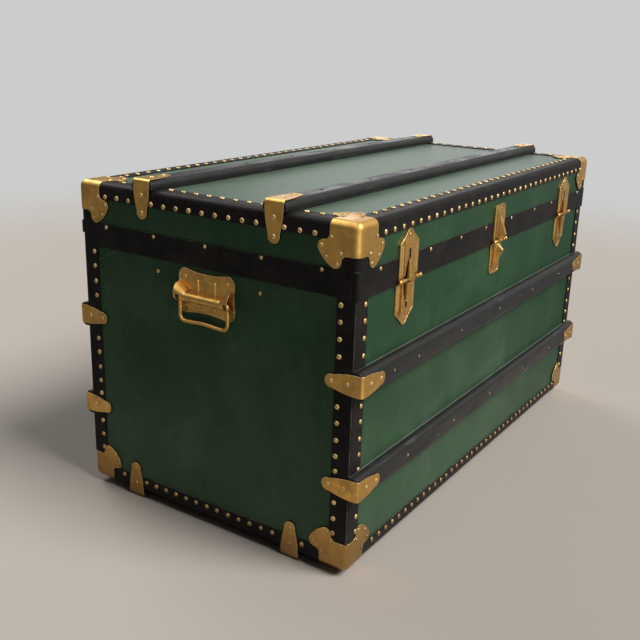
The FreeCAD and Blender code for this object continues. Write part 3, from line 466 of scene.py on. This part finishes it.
class TRUNK_OT_black_fibre(bpy.types.Operator):
    """Finish the folded black bindings and the bands at the seam"""

    bl_idname = "trunk.black_fibre"
    bl_label = "Black bindings"

    def execute(self, context):
        tints = context.scene.trunk_colours
        finish = Finish.named("black_fibre_binding")
        place = finish.place()
        clouds = finish.noise(place, 24.0, 6.0, 0.62)
        grain = finish.noise(place, 900.0, 3.0, 0.6)
        edge = finish.edges(1.6 * MM)
        patchy = finish.between(finish.noise(place, 46.0, 5.0, 0.7), 0.42, 0.62)
        tone = finish.between(clouds, 0.35, 0.70)
        hue = finish.blend(tone, tints.binding, tints.binding_grey)
        # The cut edges that look up, below the lid's top, get a pale line: rubbing in
        # patches, and a painted highlight where they face the light
        ledge_wear_and_highlight = finish.facing("Z") * (1.0 - finish.past(place, "Z", LEDGES))
        hue = finish.blend(edge * patchy * 0.75, hue, tints.binding_worn)
        hue = finish.blend(ledge_wear_and_highlight * (0.35 + 0.45 * patchy), hue, tints.binding_ledge_wear_and_highlight)
        arris = self.upright_arris(finish, place)
        hue = finish.blend(arris * (0.30 + 0.65 * patchy), hue, tints.binding_arris)
        dust = finish.between(finish.noise(place, 260.0, 5.0, 0.7), 0.56, 0.74)
        hue = finish.blend(dust * 0.05, hue, tints.chalk_and_sheen)
        fine = finish.hairlines(place, 23.0, 0.30 * MM, 0.55, (0.2, 0.9, 0.4))
        hue = finish.blend(fine * 0.30, hue, tints.binding_worn)
        # Painted shade in the corners of the black parts
        hue = finish.blend(0.5 * finish.crevices(5.0 * MM), hue, tints.black_crevice_shade)
        rough = 0.36 + 0.18 * clouds + 0.12 * dust + 0.15 * edge
        height = (finish.noise(place, 16.0, 3.0) * 0.35 + grain * 0.030
                  - fine * 0.04)
        normal = finish.raised(height, finish.softened(0.5 * MM))
        material = finish.coat({
            "Base Color": hue, "Roughness": rough, "Normal": normal,
            "Specular IOR Level": 0.08,
        })
        wear("black_fibre", material)
        return {"FINISHED"}

    def upright_arris(self, finish, place):
        """1 along the rubbed line of the body's four upright edges."""
        inset, fade = 1.8 * MM, 0.8 * MM
        line = 1.0 - finish.past(place, "Z", CORNERS)
        for axis in "XY":
            start = face("corner_bindings", "+" + axis) - inset
            line = line * finish.between(abs(finish.along(place, axis)), start,
                                         start + fade)
        return line


class TRUNK_OT_wood(bpy.types.Operator):
    """Finish the painted slats and the bare boards"""

    bl_idname = "trunk.wood"
    bl_label = "Slats and boards"

    def execute(self, context):
        tints = context.scene.trunk_colours
        wear("slats", self.painted_slats(tints))
        wear("boards", self.bare_boards(tints))
        return {"FINISHED"}

    def painted_slats(self, tints):
        finish = Finish.named("painted_slat")
        place = finish.place()
        lengthwise = finish.scaled(place, (0.035, 1.0, 1.0))
        fibres = finish.noise(lengthwise, 520.0, 5.0, 0.65)
        figure = finish.noise(lengthwise, 95.0, 4.0, 0.6, 0.5)
        clouds = finish.noise(place, 21.0, 5.0, 0.6)
        edge = finish.edges(2.2 * MM)
        chipped = finish.between(
            finish.noise(place, 85.0, 6.0, 0.72), 0.56, 0.66)
        hue = finish.blend(finish.between(clouds, 0.35, 0.68), tints.slat,
                           tints.slat_grey)
        hue = finish.blend(edge * chipped * 0.85, hue, tints.slat_worn)
        greyed = finish.between(fibres, 0.50, 0.72)
        worn = finish.between(finish.noise(
            finish.scaled(place, (0.45, 1.0, 1.0)), 17.0, 5.0, 0.65), 0.48, 0.66)
        streaks = finish.between(finish.noise(
            finish.scaled(place, (0.10, 1.0, 1.0)), 210.0, 5.0, 0.7), 0.50, 0.68)
        hue = finish.blend(greyed * 0.05 + streaks * (0.03 + 0.36 * worn), hue,
                           tints.slat_streak)
        # Where the upper edges of the slats meet the walls, their faces that look up
        # get a pale line of dust and painted highlight
        wall = -face("body_fibre_sheets", "-Y")
        outward = abs(finish.along(place, "Y"))
        seam = finish.between(outward, wall - 2.0 * MM, wall - 1.0 * MM) * (
            1.0 - finish.between(outward, wall + 1.8 * MM, wall + 3.4 * MM))
        dust_and_highlight = seam * finish.facing("Z", 0.88, 0.98)
        hue = finish.blend(dust_and_highlight * (0.30 + 0.45 * clouds), hue, tints.slat_dust_and_highlight)
        sheen = finish.between(finish.noise(
            finish.scaled(place, (0.35, 1.0, 1.0)), 34.0, 4.0, 0.6), 0.40, 0.62)
        # Painted shade in the corners of the slats
        hue = finish.blend(0.4 * finish.crevices(6.0 * MM), hue, tints.black_crevice_shade)
        rough = 0.33 + 0.14 * sheen + 0.10 * greyed + 0.2 * edge * chipped
        height = fibres * 0.075 + figure * 0.10 - edge * chipped * 0.12
        normal = finish.raised(height, finish.softened(1.2 * MM))
        return finish.coat({
            "Base Color": hue, "Roughness": rough, "Normal": normal,
            "Specular IOR Level": 0.26,
        })

    def bare_boards(self, tints):
        finish = Finish.named("bare_board")
        place = finish.place()
        level = finish.scaled(place, (0.06, 0.06, 1.0))
        figure = finish.noise(level, 110.0, 5.0, 0.6, 1.2)
        fibres = finish.noise(level, 900.0, 3.0, 0.6)
        tone = finish.between(figure * 0.7 + fibres * 0.3, 0.36, 0.64)
        hue = finish.blend(tone, tints.board_grain, tints.board)
        aged = finish.between(finish.noise(place, 13.0, 5.0, 0.6), 0.45, 0.70)
        hue = finish.blend(aged * 0.35, hue, tints.board_aged)
        height = fibres * 0.06 + figure * 0.05
        return finish.coat({
            "Base Color": hue, "Roughness": 0.62 + 0.18 * fibres,
            "Normal": finish.raised(height, finish.softened(0.4 * MM)),
            "Specular IOR Level": 0.35,
        })


class TRUNK_OT_lining(bpy.types.Operator):
    """Finish the woven cloth that lines the trunk"""

    bl_idname = "trunk.lining"
    bl_label = "Lining"

    def execute(self, context):
        tints = context.scene.trunk_colours
        finish = Finish.named("lining_cloth")
        place = finish.place()
        thread = 1.6 * MM
        turns = 2 * math.pi / thread
        threads = [
            finish.node("ShaderNodeMath", {"operation": "SINE"},
                        {0: finish.along(place, axis) * turns})
            for axis in "XYZ"
        ]
        weave = (threads[0] * threads[2] + threads[0] * threads[1]
                 + threads[1] * threads[2])
        slubs = finish.noise(finish.scaled(place, (1.0, 1.0, 0.05)), 700.0, 3.0)
        stains = finish.between(finish.noise(place, 6.0, 7.0, 0.62, 0.7), 0.50, 0.76)
        hue = finish.blend(stains * 0.48, tints.lining, tints.lining_stain)
        hue = finish.blend(finish.between(slubs, 0.45, 0.70) * 0.16, hue,
                           tints.lining_slub)
        # Painted shade in the corners of the lining
        corners = finish.crevices(50.0 * MM, 0.35)
        hue = finish.blend(0.30 * corners, hue, tints.lining_corner_shade)
        material = finish.coat({
            "Base Color": hue, "Roughness": 0.86 + 0.08 * slubs,
            "Normal": finish.raised(weave * 0.05 + slubs * 0.06),
            "Specular IOR Level": 0.25, "Sheen Weight": 0.25,
        })
        wear("lining", material)
        return {"FINISHED"}


def brass_finish(name, tints, heads=False, base=None):
    """Brass with tarnish, fine rubbing, dirt and painted shade where pieces meet,
    painted shade in its hollows, and rubbed rims with a painted highlight.
    """
    finish = Finish.named(name)
    place = finish.place()
    clouds = finish.noise(place, 55.0, 6.0, 0.65, 0.4)
    blotches = finish.noise(place, 19.0, 4.0, 0.6)
    rubbing = finish.noise(finish.scaled(place, (1.0, 1.0, 0.2)), 900.0, 4.0, 0.65)
    edge = finish.edges(1.2 * MM, 0.82)
    dull = finish.between(clouds * 0.65 + blotches * 0.35, 0.40, 0.66)
    bright = tints.brass if base is None else base
    # The brass is darker and duller by the floor
    near_floor = 1.0 - finish.past(place, "Z", BRASS_DULLER_LOW)
    hue = finish.blend(dull * 0.62, bright, tints.brass_dull)
    hue = finish.blend(near_floor * 0.85, hue, tints.brass_dull)
    # Rubbed edges, with a painted highlight along the rims
    hue = finish.blend(edge * 0.75, hue, tints.brass_rim_wear_and_highlight)
    # Painted shade: deep corners are darker and browner than the open faces
    hollow_shade = finish.crevices(10.0 * MM, 0.15, 0.85)
    hue = finish.blend(hollow_shade * 0.72, hue, tints.brass_hollow_shade)
    # Dirt and painted shade beside the edges of the brass; on nail heads also a painted
    # dark ring round the foot
    dirt_and_shade = 0.55 * finish.crevices(1.8 * MM, 0.15, 0.70)
    if heads:
        nail_foot_dirt_and_shade = finish.node("ShaderNodeAttribute", {"attribute_name": "foot_dirt_and_shade"},
                          out="Fac")
        tone = finish.node("ShaderNodeAttribute", {"attribute_name": "tone"},
                           out="Fac")
        hue = finish.blend(tone * 0.40, hue, tints.brass_dull)
        dirt_and_shade = finish.larger(dirt_and_shade, nail_foot_dirt_and_shade * 0.85)
    hue = finish.blend(dirt_and_shade, hue, tints.brass_dirt_and_shade)
    rough = ((0.16 if heads else 0.24) + 0.18 * dull + 0.10 * rubbing
             + 0.25 * dirt_and_shade + 0.20 * hollow_shade - 0.05 * edge)
    height = (finish.noise(place, 130.0, 3.0) * 0.10 + rubbing * 0.012
              + clouds * 0.05)
    normal = finish.raised(height, finish.softened(0.8 * MM))
    return finish.coat({
        "Base Color": hue, "Metallic": 1.0 - 0.55 * dirt_and_shade - 0.25 * hollow_shade,
        "Roughness": rough, "Normal": normal,
    })


class TRUNK_OT_brass(bpy.types.Operator):
    """Finish the stamped brass, the bail wire and the pins"""

    bl_idname = "trunk.brass"
    bl_label = "Brass"

    def execute(self, context):
        tints = context.scene.trunk_colours
        stamped = brass_finish("stamped_brass", tints)
        for slot in ("brass", "bail_wire", "pins"):
            wear(slot, stamped)
        for node in ("body_clamp_nails", "lid_clamp_nails"):
            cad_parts[node].material_slots[0].material = nail_brass(context)
        return {"FINISHED"}


# Nails

# Outline of a head, from its sunk foot to its crown, in shares of radius and height
DOME = [(1.00, -0.12), (1.00, 0.10), (0.95, 0.32), (0.84, 0.57), (0.66, 0.79),
        (0.40, 0.94), (0.0, 1.0)]
BUTTON = [(1.00, -0.20), (1.00, 0.45), (0.92, 0.75), (0.66, 0.94), (0.0, 1.0)]
# Painted shade and dirt round the foot of a head
RING_DIRT_AND_SHADE = (1.0, 1.0, 0.55, 0.10)    # On the rings, from the foot up


def row(*parts):
    """Places in metres. A part is one place, or an even run of them as (first,
    last, count), in millimetres."""
    places = []
    for part in parts:
        if isinstance(part, tuple):
            first, last, count = part
            places += [first + (last - first) * step / (count - 1)
                       for step in range(count)]
        else:
            places.append(part)
    return [place * MM for place in places]


# Rows along the body, and their heights or distances from its edges
FOOT_ENDS = row(177.9, (129.0, -120.0, 13), -172.0)
FOOT_SIDES = row((-367.0, 382.0, 38))
FOOT_HEIGHT = 28.5 * MM
UPRIGHTS = row(393.0, 370.0, 346.7, 323.0, 253.0, 230.0, 205.0, 182.0, 160.0,
               112.5, 88.0, 65.0)
UPRIGHT_INSET = 22.5 * MM
PANEL_TACKS = row(-93.0, 93.0)
PANEL_TACK_HEIGHT = 383.5 * MM

# Rows along the lid
LID_ENDS = row(191.8, 168.2, 144.9, (99.7, -88.6, 9), -133.9, -158.2, -181.2)
LID_SIDES = row((-376.0, 393.0, 33))
LID_HEIGHT = 480.0 * MM
TOP_LONG = row((-364.0, 364.0, 32))
TOP_SHORT = row((-176.0, 176.0, 16))
TOP_INSET = 23.6 * MM
TOP_SLATS = [(-117.6 * MM, 23.0 * MM), (117.6 * MM, 23.0 * MM)]
BAND_ENDS = row(-193.0, -97.0, 0.0, 97.0, 193.0)
BAND_FRONT = row(-384.0, -243.0, -143.0, -51.0, 54.0, 161.0, 247.0, 394.0)
BAND_BACK = row(-392.0, -232.0, -145.0, -60.0, 60.0, 145.0, 232.0, 392.0)
BAND_HEIGHT = 434.0 * MM

# Tacks along the slats
WALL_SLATS = {
    "front_upper_slat": row(-353.0, -282.0, -140.0, 10.0, 160.0, 301.0),
    "front_lower_slat": row(-297.0, -142.0, -1.5, 151.0, 292.0),
    "back_upper_slat": row(-301.0, -160.0, -10.0, 140.0, 282.0),
    "back_lower_slat": row(-292.0, -151.0, 1.5, 142.0, 297.0),
}
TOP_SLAT_TACKS = row(-330.0, -200.0, -68.0, 66.0, 198.0, 332.0)

# Nails on a corner's lobes, as distances from the two edges of the face they are on
LOBES = list(zip(row(27.0, 32.0, 49.0, 56.0, 42.0), row(42.0, 56.0, 48.0, 34.0, 22.0)))

# Faces that the rivets of the fittings stand on, and the rivets, in millimetres
CATCH_PLATE, CATCH_BASE = -248.2, -244.7
HANDLE_PLATE = -437.2
BODY_LEAF, LID_LEAF = 245.0, 247.0
PLATE_RIVETS = ((-310.0, 466.0), (310.0, 466.0), (0.0, 458.0))
BASE_RIVETS = ((-310.0, 351.0), (310.0, 351.0), (0.0, 357.0))
HANDLE_RIVETS = ((38.5, 386.0), (-38.5, 386.0), (40.5, 343.0), (-40.5, 343.0),
                 (15.0, 346.0), (-15.0, 346.0))
HINGES = (-290.0, 0.0, 290.0)
LEAF_RIVETS = (-20.0, 0.0, 20.0)
BODY_LEAF_HEIGHT, LID_LEAF_HEIGHT = 393.0, 449.0


def add_head(bm, layers, outline, spot, side, radius, height, rounds, lean, tone,
             turn):
    """Adds one closed nail head, standing on spot and facing side."""
    foot_dirt_and_shade, shade = layers
    upright = SIDES[side].to_track_quat("Z", "Y").to_matrix().to_4x4()
    tilt = (Matrix.Rotation(turn, 4, "Z") @ Matrix.Rotation(lean, 4, "X")
            @ Matrix.Rotation(-turn, 4, "Z"))
    stand = Matrix.Translation(spot) @ upright @ tilt
    rings = []
    for ring, (out, up) in enumerate(outline):
        steps = 1 if out == 0.0 else rounds
        verts = []
        for step in range(steps):
            angle = 2 * math.pi * step / rounds
            vert = bm.verts.new(stand @ Vector((
                radius * out * math.cos(angle), radius * out * math.sin(angle),
                height * up)))
            # Painted shade and dirt round the foot of the head
            vert[foot_dirt_and_shade] = RING_DIRT_AND_SHADE[ring] if ring < len(RING_DIRT_AND_SHADE) else 0.0
            vert[shade] = tone
            verts.append(vert)
        rings.append(verts)
    bm.faces.new(list(reversed(rings[0])))
    for lower, upper in zip(rings, rings[1:]):
        for step in range(rounds):
            after = (step + 1) % rounds
            if len(upper) == 1:
                made = bm.faces.new((lower[step], lower[after], upper[0]))
            else:
                made = bm.faces.new((lower[step], lower[after], upper[after],
                                     upper[step]))
            made.smooth = True


def nail_heads(context, name, body, spots, kind="nail", seed=1, material=None):
    """One piece that holds all the heads of a group. spots are (place, side)."""
    nails = context.scene.trunk_nails
    outline, radius, height = {
        "nail": (DOME, nails.nail_radius, nails.nail_height),
        "tack": (DOME, nails.tack_radius, nails.tack_height),
        "flat": (BUTTON, nails.flat_radius, nails.flat_height),
    }[kind]
    dice = random.Random(seed)
    bm = bmesh.new()
    layers = (bm.verts.layers.float.new("foot_dirt_and_shade"), bm.verts.layers.float.new("tone"))
    for spot, side in spots:
        off = Vector([dice.gauss(0.0, nails.stray * 0.5) for _ in "XYZ"])
        off -= SIDES[side] * off.dot(SIDES[side])
        off = Vector([max(-nails.stray, min(nails.stray, part)) for part in off])
        size = dice.uniform(0.95, 1.05)
        add_head(bm, layers, outline, Vector(spot) + off, side, radius * size,
                 height * dice.uniform(0.88, 1.0), nails.rounds,
                 dice.uniform(0.0, nails.lean), dice.random() ** 2,
                 dice.uniform(0.0, 2 * math.pi))
    mesh = bpy.data.meshes.new(name)
    bm.to_mesh(mesh)
    bm.free()
    mesh.set_sharp_from_angle(angle=math.radians(50.0))
    piece = bpy.data.objects.new(name, mesh)
    context.scene.collection.objects.link(piece)
    mesh.materials.append(material or nail_brass(context))
    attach(piece, body)
    return piece


def nail_brass(context):
    """The brass of the nails, made once."""
    made = bpy.data.materials.get("nail_brass")
    tints = context.scene.trunk_colours
    return made or brass_finish("nail_brass", tints, True, tints.nail)


def clear_of(places, gaps):
    """The places that lie outside each gap, given as (middle, half width)."""
    return [p for p in places if all(abs(p - mid) > half for mid, half in gaps)]


def turned(spot, side):
    """A nail's spot, and where it comes to with the trunk turned half round."""
    x, y, z = spot
    return [(spot, side), ((-x, -y, z), "+" + side[1])]


def mirrored(spot, side):
    """A nail's spot, and its mirror image on the opposite side."""
    x, y, z = spot
    image = (-x, y, z) if side[1] == "X" else (x, -y, z)
    return [(spot, side), (image, "+" + side[1])]


class TRUNK_OT_body_nails(bpy.types.Operator):
    """Nail the body's bindings"""

    bl_idname = "trunk.body_nails"
    bl_label = "Body nails"

    def execute(self, context):
        left = face("corner_bindings", "-X")
        front = face("corner_bindings", "-Y")
        spots = []
        for along in FOOT_ENDS:
            spots += turned((left, along, FOOT_HEIGHT), "-X")
        for along in FOOT_SIDES:
            spots += turned((along, front, FOOT_HEIGHT), "-Y")
        for height in UPRIGHTS:
            for way in (-1, 1):
                across = way * (abs(front) - UPRIGHT_INSET)
                spots += mirrored((left, across, height), "-X")
                across = way * (abs(left) - UPRIGHT_INSET)
                spots += mirrored((across, front, height), "-Y")
        nail_heads(context, "body_nails", "trunk_body", spots, seed=11)
        panel = face("body_fibre_sheets", "-X")
        tacks = [((way * panel, along, PANEL_TACK_HEIGHT), side)
                 for way, side in ((1, "-X"), (-1, "+X")) for along in PANEL_TACKS]
        nail_heads(context, "panel_tacks", "trunk_body", tacks, "tack", 12)
        return {"FINISHED"}


class TRUNK_OT_lid_nails(bpy.types.Operator):
    """Nail the lid's bindings and the bands at the seam"""

    bl_idname = "trunk.lid_nails"
    bl_label = "Lid nails"

    def execute(self, context):
        left = face("lid_edge_bindings", "-X")
        front = face("lid_edge_bindings", "-Y")
        top = face("lid_edge_bindings", "+Z")
        spots = []
        for along in LID_ENDS:
            spots += turned((left, along, LID_HEIGHT), "-X")
        for along in LID_SIDES:
            spots += turned((along, front, LID_HEIGHT), "-Y")
        for along in TOP_LONG:
            for way in (-1, 1):
                spots.append(((along, way * (abs(front) - TOP_INSET), top), "+Z"))
        for along in clear_of(TOP_SHORT, TOP_SLATS):
            for way in (-1, 1):
                spots.append(((way * (abs(left) - TOP_INSET), along, top), "+Z"))
        nail_heads(context, "lid_nails", "lid", spots, seed=21)
        tacks = []
        for along in BAND_ENDS:
            tacks += mirrored((face("left_valance", "-X"), along, BAND_HEIGHT), "-X")
        for node, side, places in (("front_valance", "-Y", BAND_FRONT),
                                   ("back_band", "+Y", BAND_BACK)):
            tacks += [((along, face(node, side), BAND_HEIGHT), side)
                      for along in places]
        nail_heads(context, "band_tacks", "lid", tacks, "tack", 22)
        return {"FINISHED"}


class TRUNK_OT_slat_tacks(bpy.types.Operator):
    """Tack the slats down"""

    bl_idname = "trunk.slat_tacks"
    bl_label = "Slat tacks"

    def execute(self, context):
        tints = context.scene.trunk_colours
        pale = brass_finish("pale_tack", tints, True, tints.tack)
        spots = []
        for node, places in WALL_SLATS.items():
            side = "-Y" if node.startswith("front") else "+Y"
            low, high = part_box(node)
            middle = (low.z + high.z) / 2
            spots += [((along, face(node, side), middle), side) for along in places]
        nail_heads(context, "slat_tacks", "trunk_body", spots, "flat", 31, pale)
        spots = []
        # Those on the lid are painted over with their slats
        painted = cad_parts["front_top_slat"].material_slots[0].material
        for node in ("front_top_slat", "rear_top_slat"):
            low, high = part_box(node)
            middle = (low.y + high.y) / 2
            spots += [((along, middle, high.z), "+Z") for along in TOP_SLAT_TACKS]
        nail_heads(context, "top_slat_tacks", "lid", spots, "flat", 32, painted)
        return {"FINISHED"}


class TRUNK_OT_corner_nails(bpy.types.Operator):
    """Nail the stamped corners"""

    bl_idname = "trunk.corner_nails"
    bl_label = "Corner nails"

    def execute(self, context):
        for name, node, body, rise, seed in (
                ("lid_corner_nails", "lid_corners", "lid", "+Z", 41),
                ("bottom_corner_nails", "bottom_corners", "trunk_body", "-Z", 42)):
            low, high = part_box(node)
            level = high.z if rise == "+Z" else low.z
            down = -1 if rise == "+Z" else 1
            spots = []
            for right in (-1, 1):
                for rear in (-1, 1):
                    x, y = high.x * right, high.y * rear
                    x_side = "+X" if right > 0 else "-X"
                    y_side = "+Y" if rear > 0 else "-Y"
                    for u, v in LOBES:
                        spots += [
                            ((x, y - rear * u, level + down * v), x_side),
                            ((x - right * u, y, level + down * v), y_side),
                            ((x - right * u, y - rear * v, level), rise)]
            nail_heads(context, name, body, spots, "tack", seed)
        return {"FINISHED"}


class TRUNK_OT_fitting_rivets(bpy.types.Operator):
    """Rivet the catches, the handle plates and the hinges"""

    bl_idname = "trunk.fitting_rivets"
    bl_label = "Fitting rivets"

    def execute(self, context):
        on_lid = [(row(x, CATCH_PLATE, z), "-Y") for x, z in PLATE_RIVETS]
        on_body = [(row(x, CATCH_BASE, z), "-Y") for x, z in BASE_RIVETS]
        for y, z in HANDLE_RIVETS:
            on_body += mirrored(row(HANDLE_PLATE, y, z), "-X")
        for hinge in HINGES:
            for x in LEAF_RIVETS:
                on_body.append((row(hinge + x, BODY_LEAF, BODY_LEAF_HEIGHT), "+Y"))
                on_lid.append((row(hinge + x, LID_LEAF, LID_LEAF_HEIGHT), "+Y"))
        nail_heads(context, "body_fitting_rivets", "trunk_body", on_body, "tack", 61)
        nail_heads(context, "lid_fitting_rivets", "lid", on_lid, "tack", 62)
        return {"FINISHED"}


# Studio

# Lights that show only in a gloss, over an even air: the way to each, its strength,
# and the cosines between which it comes up
GLOSS_AIR = 0.26
GLOSS_LIGHTS = (
    ((0.15, -0.20, 0.97), 1.10, 0.15, 0.90),      # Wide, overhead
    ((0.87, 0.45, 0.20), 2.40, 0.965, 0.992),     # Narrow, at the right rear
    ((0.45, -0.89, 0.0), 0.45, 0.10, 0.90),       # Wide, at the right front
    ((-0.25, 0.48, 0.84), 1.30, 0.88, 0.98),      # High, over the back
    ((-0.72, 0.10, 0.68), 1.30, 0.90, 0.985),     # High, over the left end
    ((-0.48, -0.80, 0.36), 1.40, 0.76, 0.96),     # Low, at the left front
)
# The floor in a gloss, where a bright wedge towards the left front lights up rounded
# brass
GLOSS_FLOOR = 0.34
WEDGE_AHEAD, WEDGE_BESIDE = (-0.51, -0.86, 0.0), (0.86, -0.51, 0.0)


class TRUNK_OT_studio(bpy.types.Operator):
    """Lay the floor and set the light and the camera"""

    bl_idname = "trunk.studio"
    bl_label = "Studio"

    def execute(self, context):
        studio = context.scene.trunk_studio
        self.floor(context, studio)
        self.world(context, studio)
        self.lamp(context, "key_light", studio.key_from, studio.key_strength,
                  studio.spread)
        self.lamp(context, "rear_light", studio.rear_from, studio.rear_strength,
                  studio.spread)
        self.camera(context, studio)
        context.scene.view_settings.view_transform = "Standard"
        return {"FINISHED"}

    def floor(self, context, studio):
        bm = bmesh.new()
        bmesh.ops.create_circle(bm, cap_ends=True, cap_tris=True, segments=96,
                                radius=studio.floor_radius)
        mesh = bpy.data.meshes.new("floor")
        bm.to_mesh(mesh)
        bm.free()
        floor = bpy.data.objects.new("floor", mesh)
        context.scene.collection.objects.link(floor)
        finish = Finish.named("pale_floor")
        place = finish.place()
        clouds = finish.between(finish.noise(place, 1.6, 4.0), 0.35, 0.65)
        deeper = [0.93 * part for part in studio.floor]
        hue = finish.blend(clouds * 0.25, studio.floor, deeper)
        laid = finish.node("ShaderNodeBsdfPrincipled", None, {
            "Base Color": hue, "Roughness": 0.62,
            "Normal": finish.raised(finish.noise(place, 180.0, 3.0) * 0.06),
            "Specular IOR Level": 0.3,
        })
        # The floor fades into the backdrop, as on a paper sweep. In a gloss it does so
        # sooner, and is as bright there as the air is on that side.
        away = finish.node("ShaderNodeVectorMath", {"operation": "LENGTH"},
                           {0: place}, out="Value")
        in_gloss = finish.ray("Is Glossy Ray")
        seen = finish.larger(finish.looked_at(), in_gloss)
        faded = finish.between(away, studio.sweep_start, studio.sweep_end) * seen
        sooner = finish.between(away, 0.3 * studio.sweep_start,
                                0.4 * studio.sweep_end) * in_gloss
        across = finish.along(place, "X")
        forward = 0.0 - finish.along(place, "Y")
        wedge = (finish.dot(place, WEDGE_AHEAD)
                 - 2.6 * abs(finish.dot(place, WEDGE_BESIDE)))
        glow = (GLOSS_FLOOR + 0.60 * finish.between(forward, 0.1, 1.3)
                - 0.22 * finish.between(across, 0.2, 1.2)
                + 0.08 * finish.between(0.0 - across, 0.9, 2.0)
                + 1.30 * finish.between(wedge, 0.2, 1.2))
        light = in_gloss * glow + (1.0 - in_gloss)
        swept = finish.node("ShaderNodeEmission", None, {
            "Color": finish.scaled(studio.backdrop, light), "Strength": 1.0})
        both = finish.node("ShaderNodeMixShader", None, {
            0: finish.larger(faded, sooner), 1: laid, 2: swept})
        finish.node("ShaderNodeOutputMaterial", None, {"Surface": both})
        mesh.materials.append(finish.owner)

    def world(self, context, studio):
        world = bpy.data.worlds.new("studio_air")
        context.scene.world = world
        air = Finish(world)
        way = air.node("ShaderNodeTexCoord", out="Generated")
        glow = GLOSS_AIR
        for source, strength, low, high in GLOSS_LIGHTS:
            glow = glow + strength * air.between(air.dot(way, source), low, high)
        glossy = air.node("ShaderNodeBackground", None, {
            "Color": rgba(studio.backdrop), "Strength": glow})
        soft = air.node("ShaderNodeBackground", None, {
            "Color": (1.0, 1.0, 1.0, 1.0), "Strength": studio.fill})
        plain = air.node("ShaderNodeBackground", None, {
            "Color": rgba(studio.backdrop), "Strength": 1.0})
        unseen = air.node("ShaderNodeMixShader", None, {
            0: air.ray("Is Glossy Ray"), 1: soft, 2: glossy})
        both = air.node("ShaderNodeMixShader", None, {
            0: air.looked_at(), 1: unseen, 2: plain})
        air.node("ShaderNodeOutputWorld", None, {"Surface": both})

    def lamp(self, context, name, source, strength, spread):
        light = bpy.data.lights.new(name, "SUN")
        light.energy = strength
        light.angle = spread
        lamp = bpy.data.objects.new(name, light)
        lamp.location = source
        lamp.rotation_mode = "QUATERNION"
        lamp.rotation_quaternion = Vector(source).to_track_quat("Z", "Y")
        context.scene.collection.objects.link(lamp)

    def camera(self, context, studio):
        turn, dip, roll = studio.camera_turn, studio.camera_dip, studio.camera_roll
        ahead = Vector((-math.sin(turn) * math.cos(dip),
                        math.cos(turn) * math.cos(dip), -math.sin(dip)))
        level = Vector((math.cos(turn), math.sin(turn), 0.0))
        above = level.cross(ahead)
        right = level * math.cos(roll) + above * math.sin(roll)
        up = above * math.cos(roll) - level * math.sin(roll)
        lens = bpy.data.cameras.new("camera")
        lens.lens = studio.camera_lens
        lens.sensor_width = 36.0
        camera = bpy.data.objects.new("camera", lens)
        pose = Matrix((right, up, -ahead)).transposed().to_4x4()
        camera.matrix_world = Matrix.Translation(studio.camera_place) @ pose
        context.scene.collection.objects.link(camera)
        context.scene.camera = camera


# Add-on

STEPS = (
    TRUNK_OT_green_fibre, TRUNK_OT_black_fibre, TRUNK_OT_wood, TRUNK_OT_lining,
    TRUNK_OT_brass, TRUNK_OT_body_nails, TRUNK_OT_lid_nails, TRUNK_OT_slat_tacks,
    TRUNK_OT_corner_nails, TRUNK_OT_fitting_rivets, TRUNK_OT_studio,
)
GROUPS = {"trunk_colours": TrunkColours, "trunk_nails": TrunkNails,
          "trunk_studio": TrunkStudio}


class TRUNK_PT_dressing(bpy.types.Panel):
    """Steps and settings of the trunk's dressing"""

    bl_label = "Travel trunk"
    bl_space_type = "VIEW_3D"
    bl_region_type = "UI"
    bl_category = "Trunk"

    def draw(self, context):
        for step in STEPS:
            self.layout.operator(step.bl_idname)
        for name, group in GROUPS.items():
            box = self.layout.box()
            for setting in group.__annotations__:
                box.prop(getattr(context.scene, name), setting)


def register():
    for made in (*GROUPS.values(), *STEPS, TRUNK_PT_dressing):
        bpy.utils.register_class(made)
    for name, group in GROUPS.items():
        setattr(bpy.types.Scene, name, PointerProperty(type=group))


def unregister():
    for name in GROUPS:
        delattr(bpy.types.Scene, name)
    for made in reversed((*GROUPS.values(), *STEPS, TRUNK_PT_dressing)):
        bpy.utils.unregister_class(made)


def main():
    register()
    for step in STEPS:
        family, action = step.bl_idname.split(".")
        getattr(getattr(bpy.ops, family), action)()


if __name__ == "__main__":
    main()
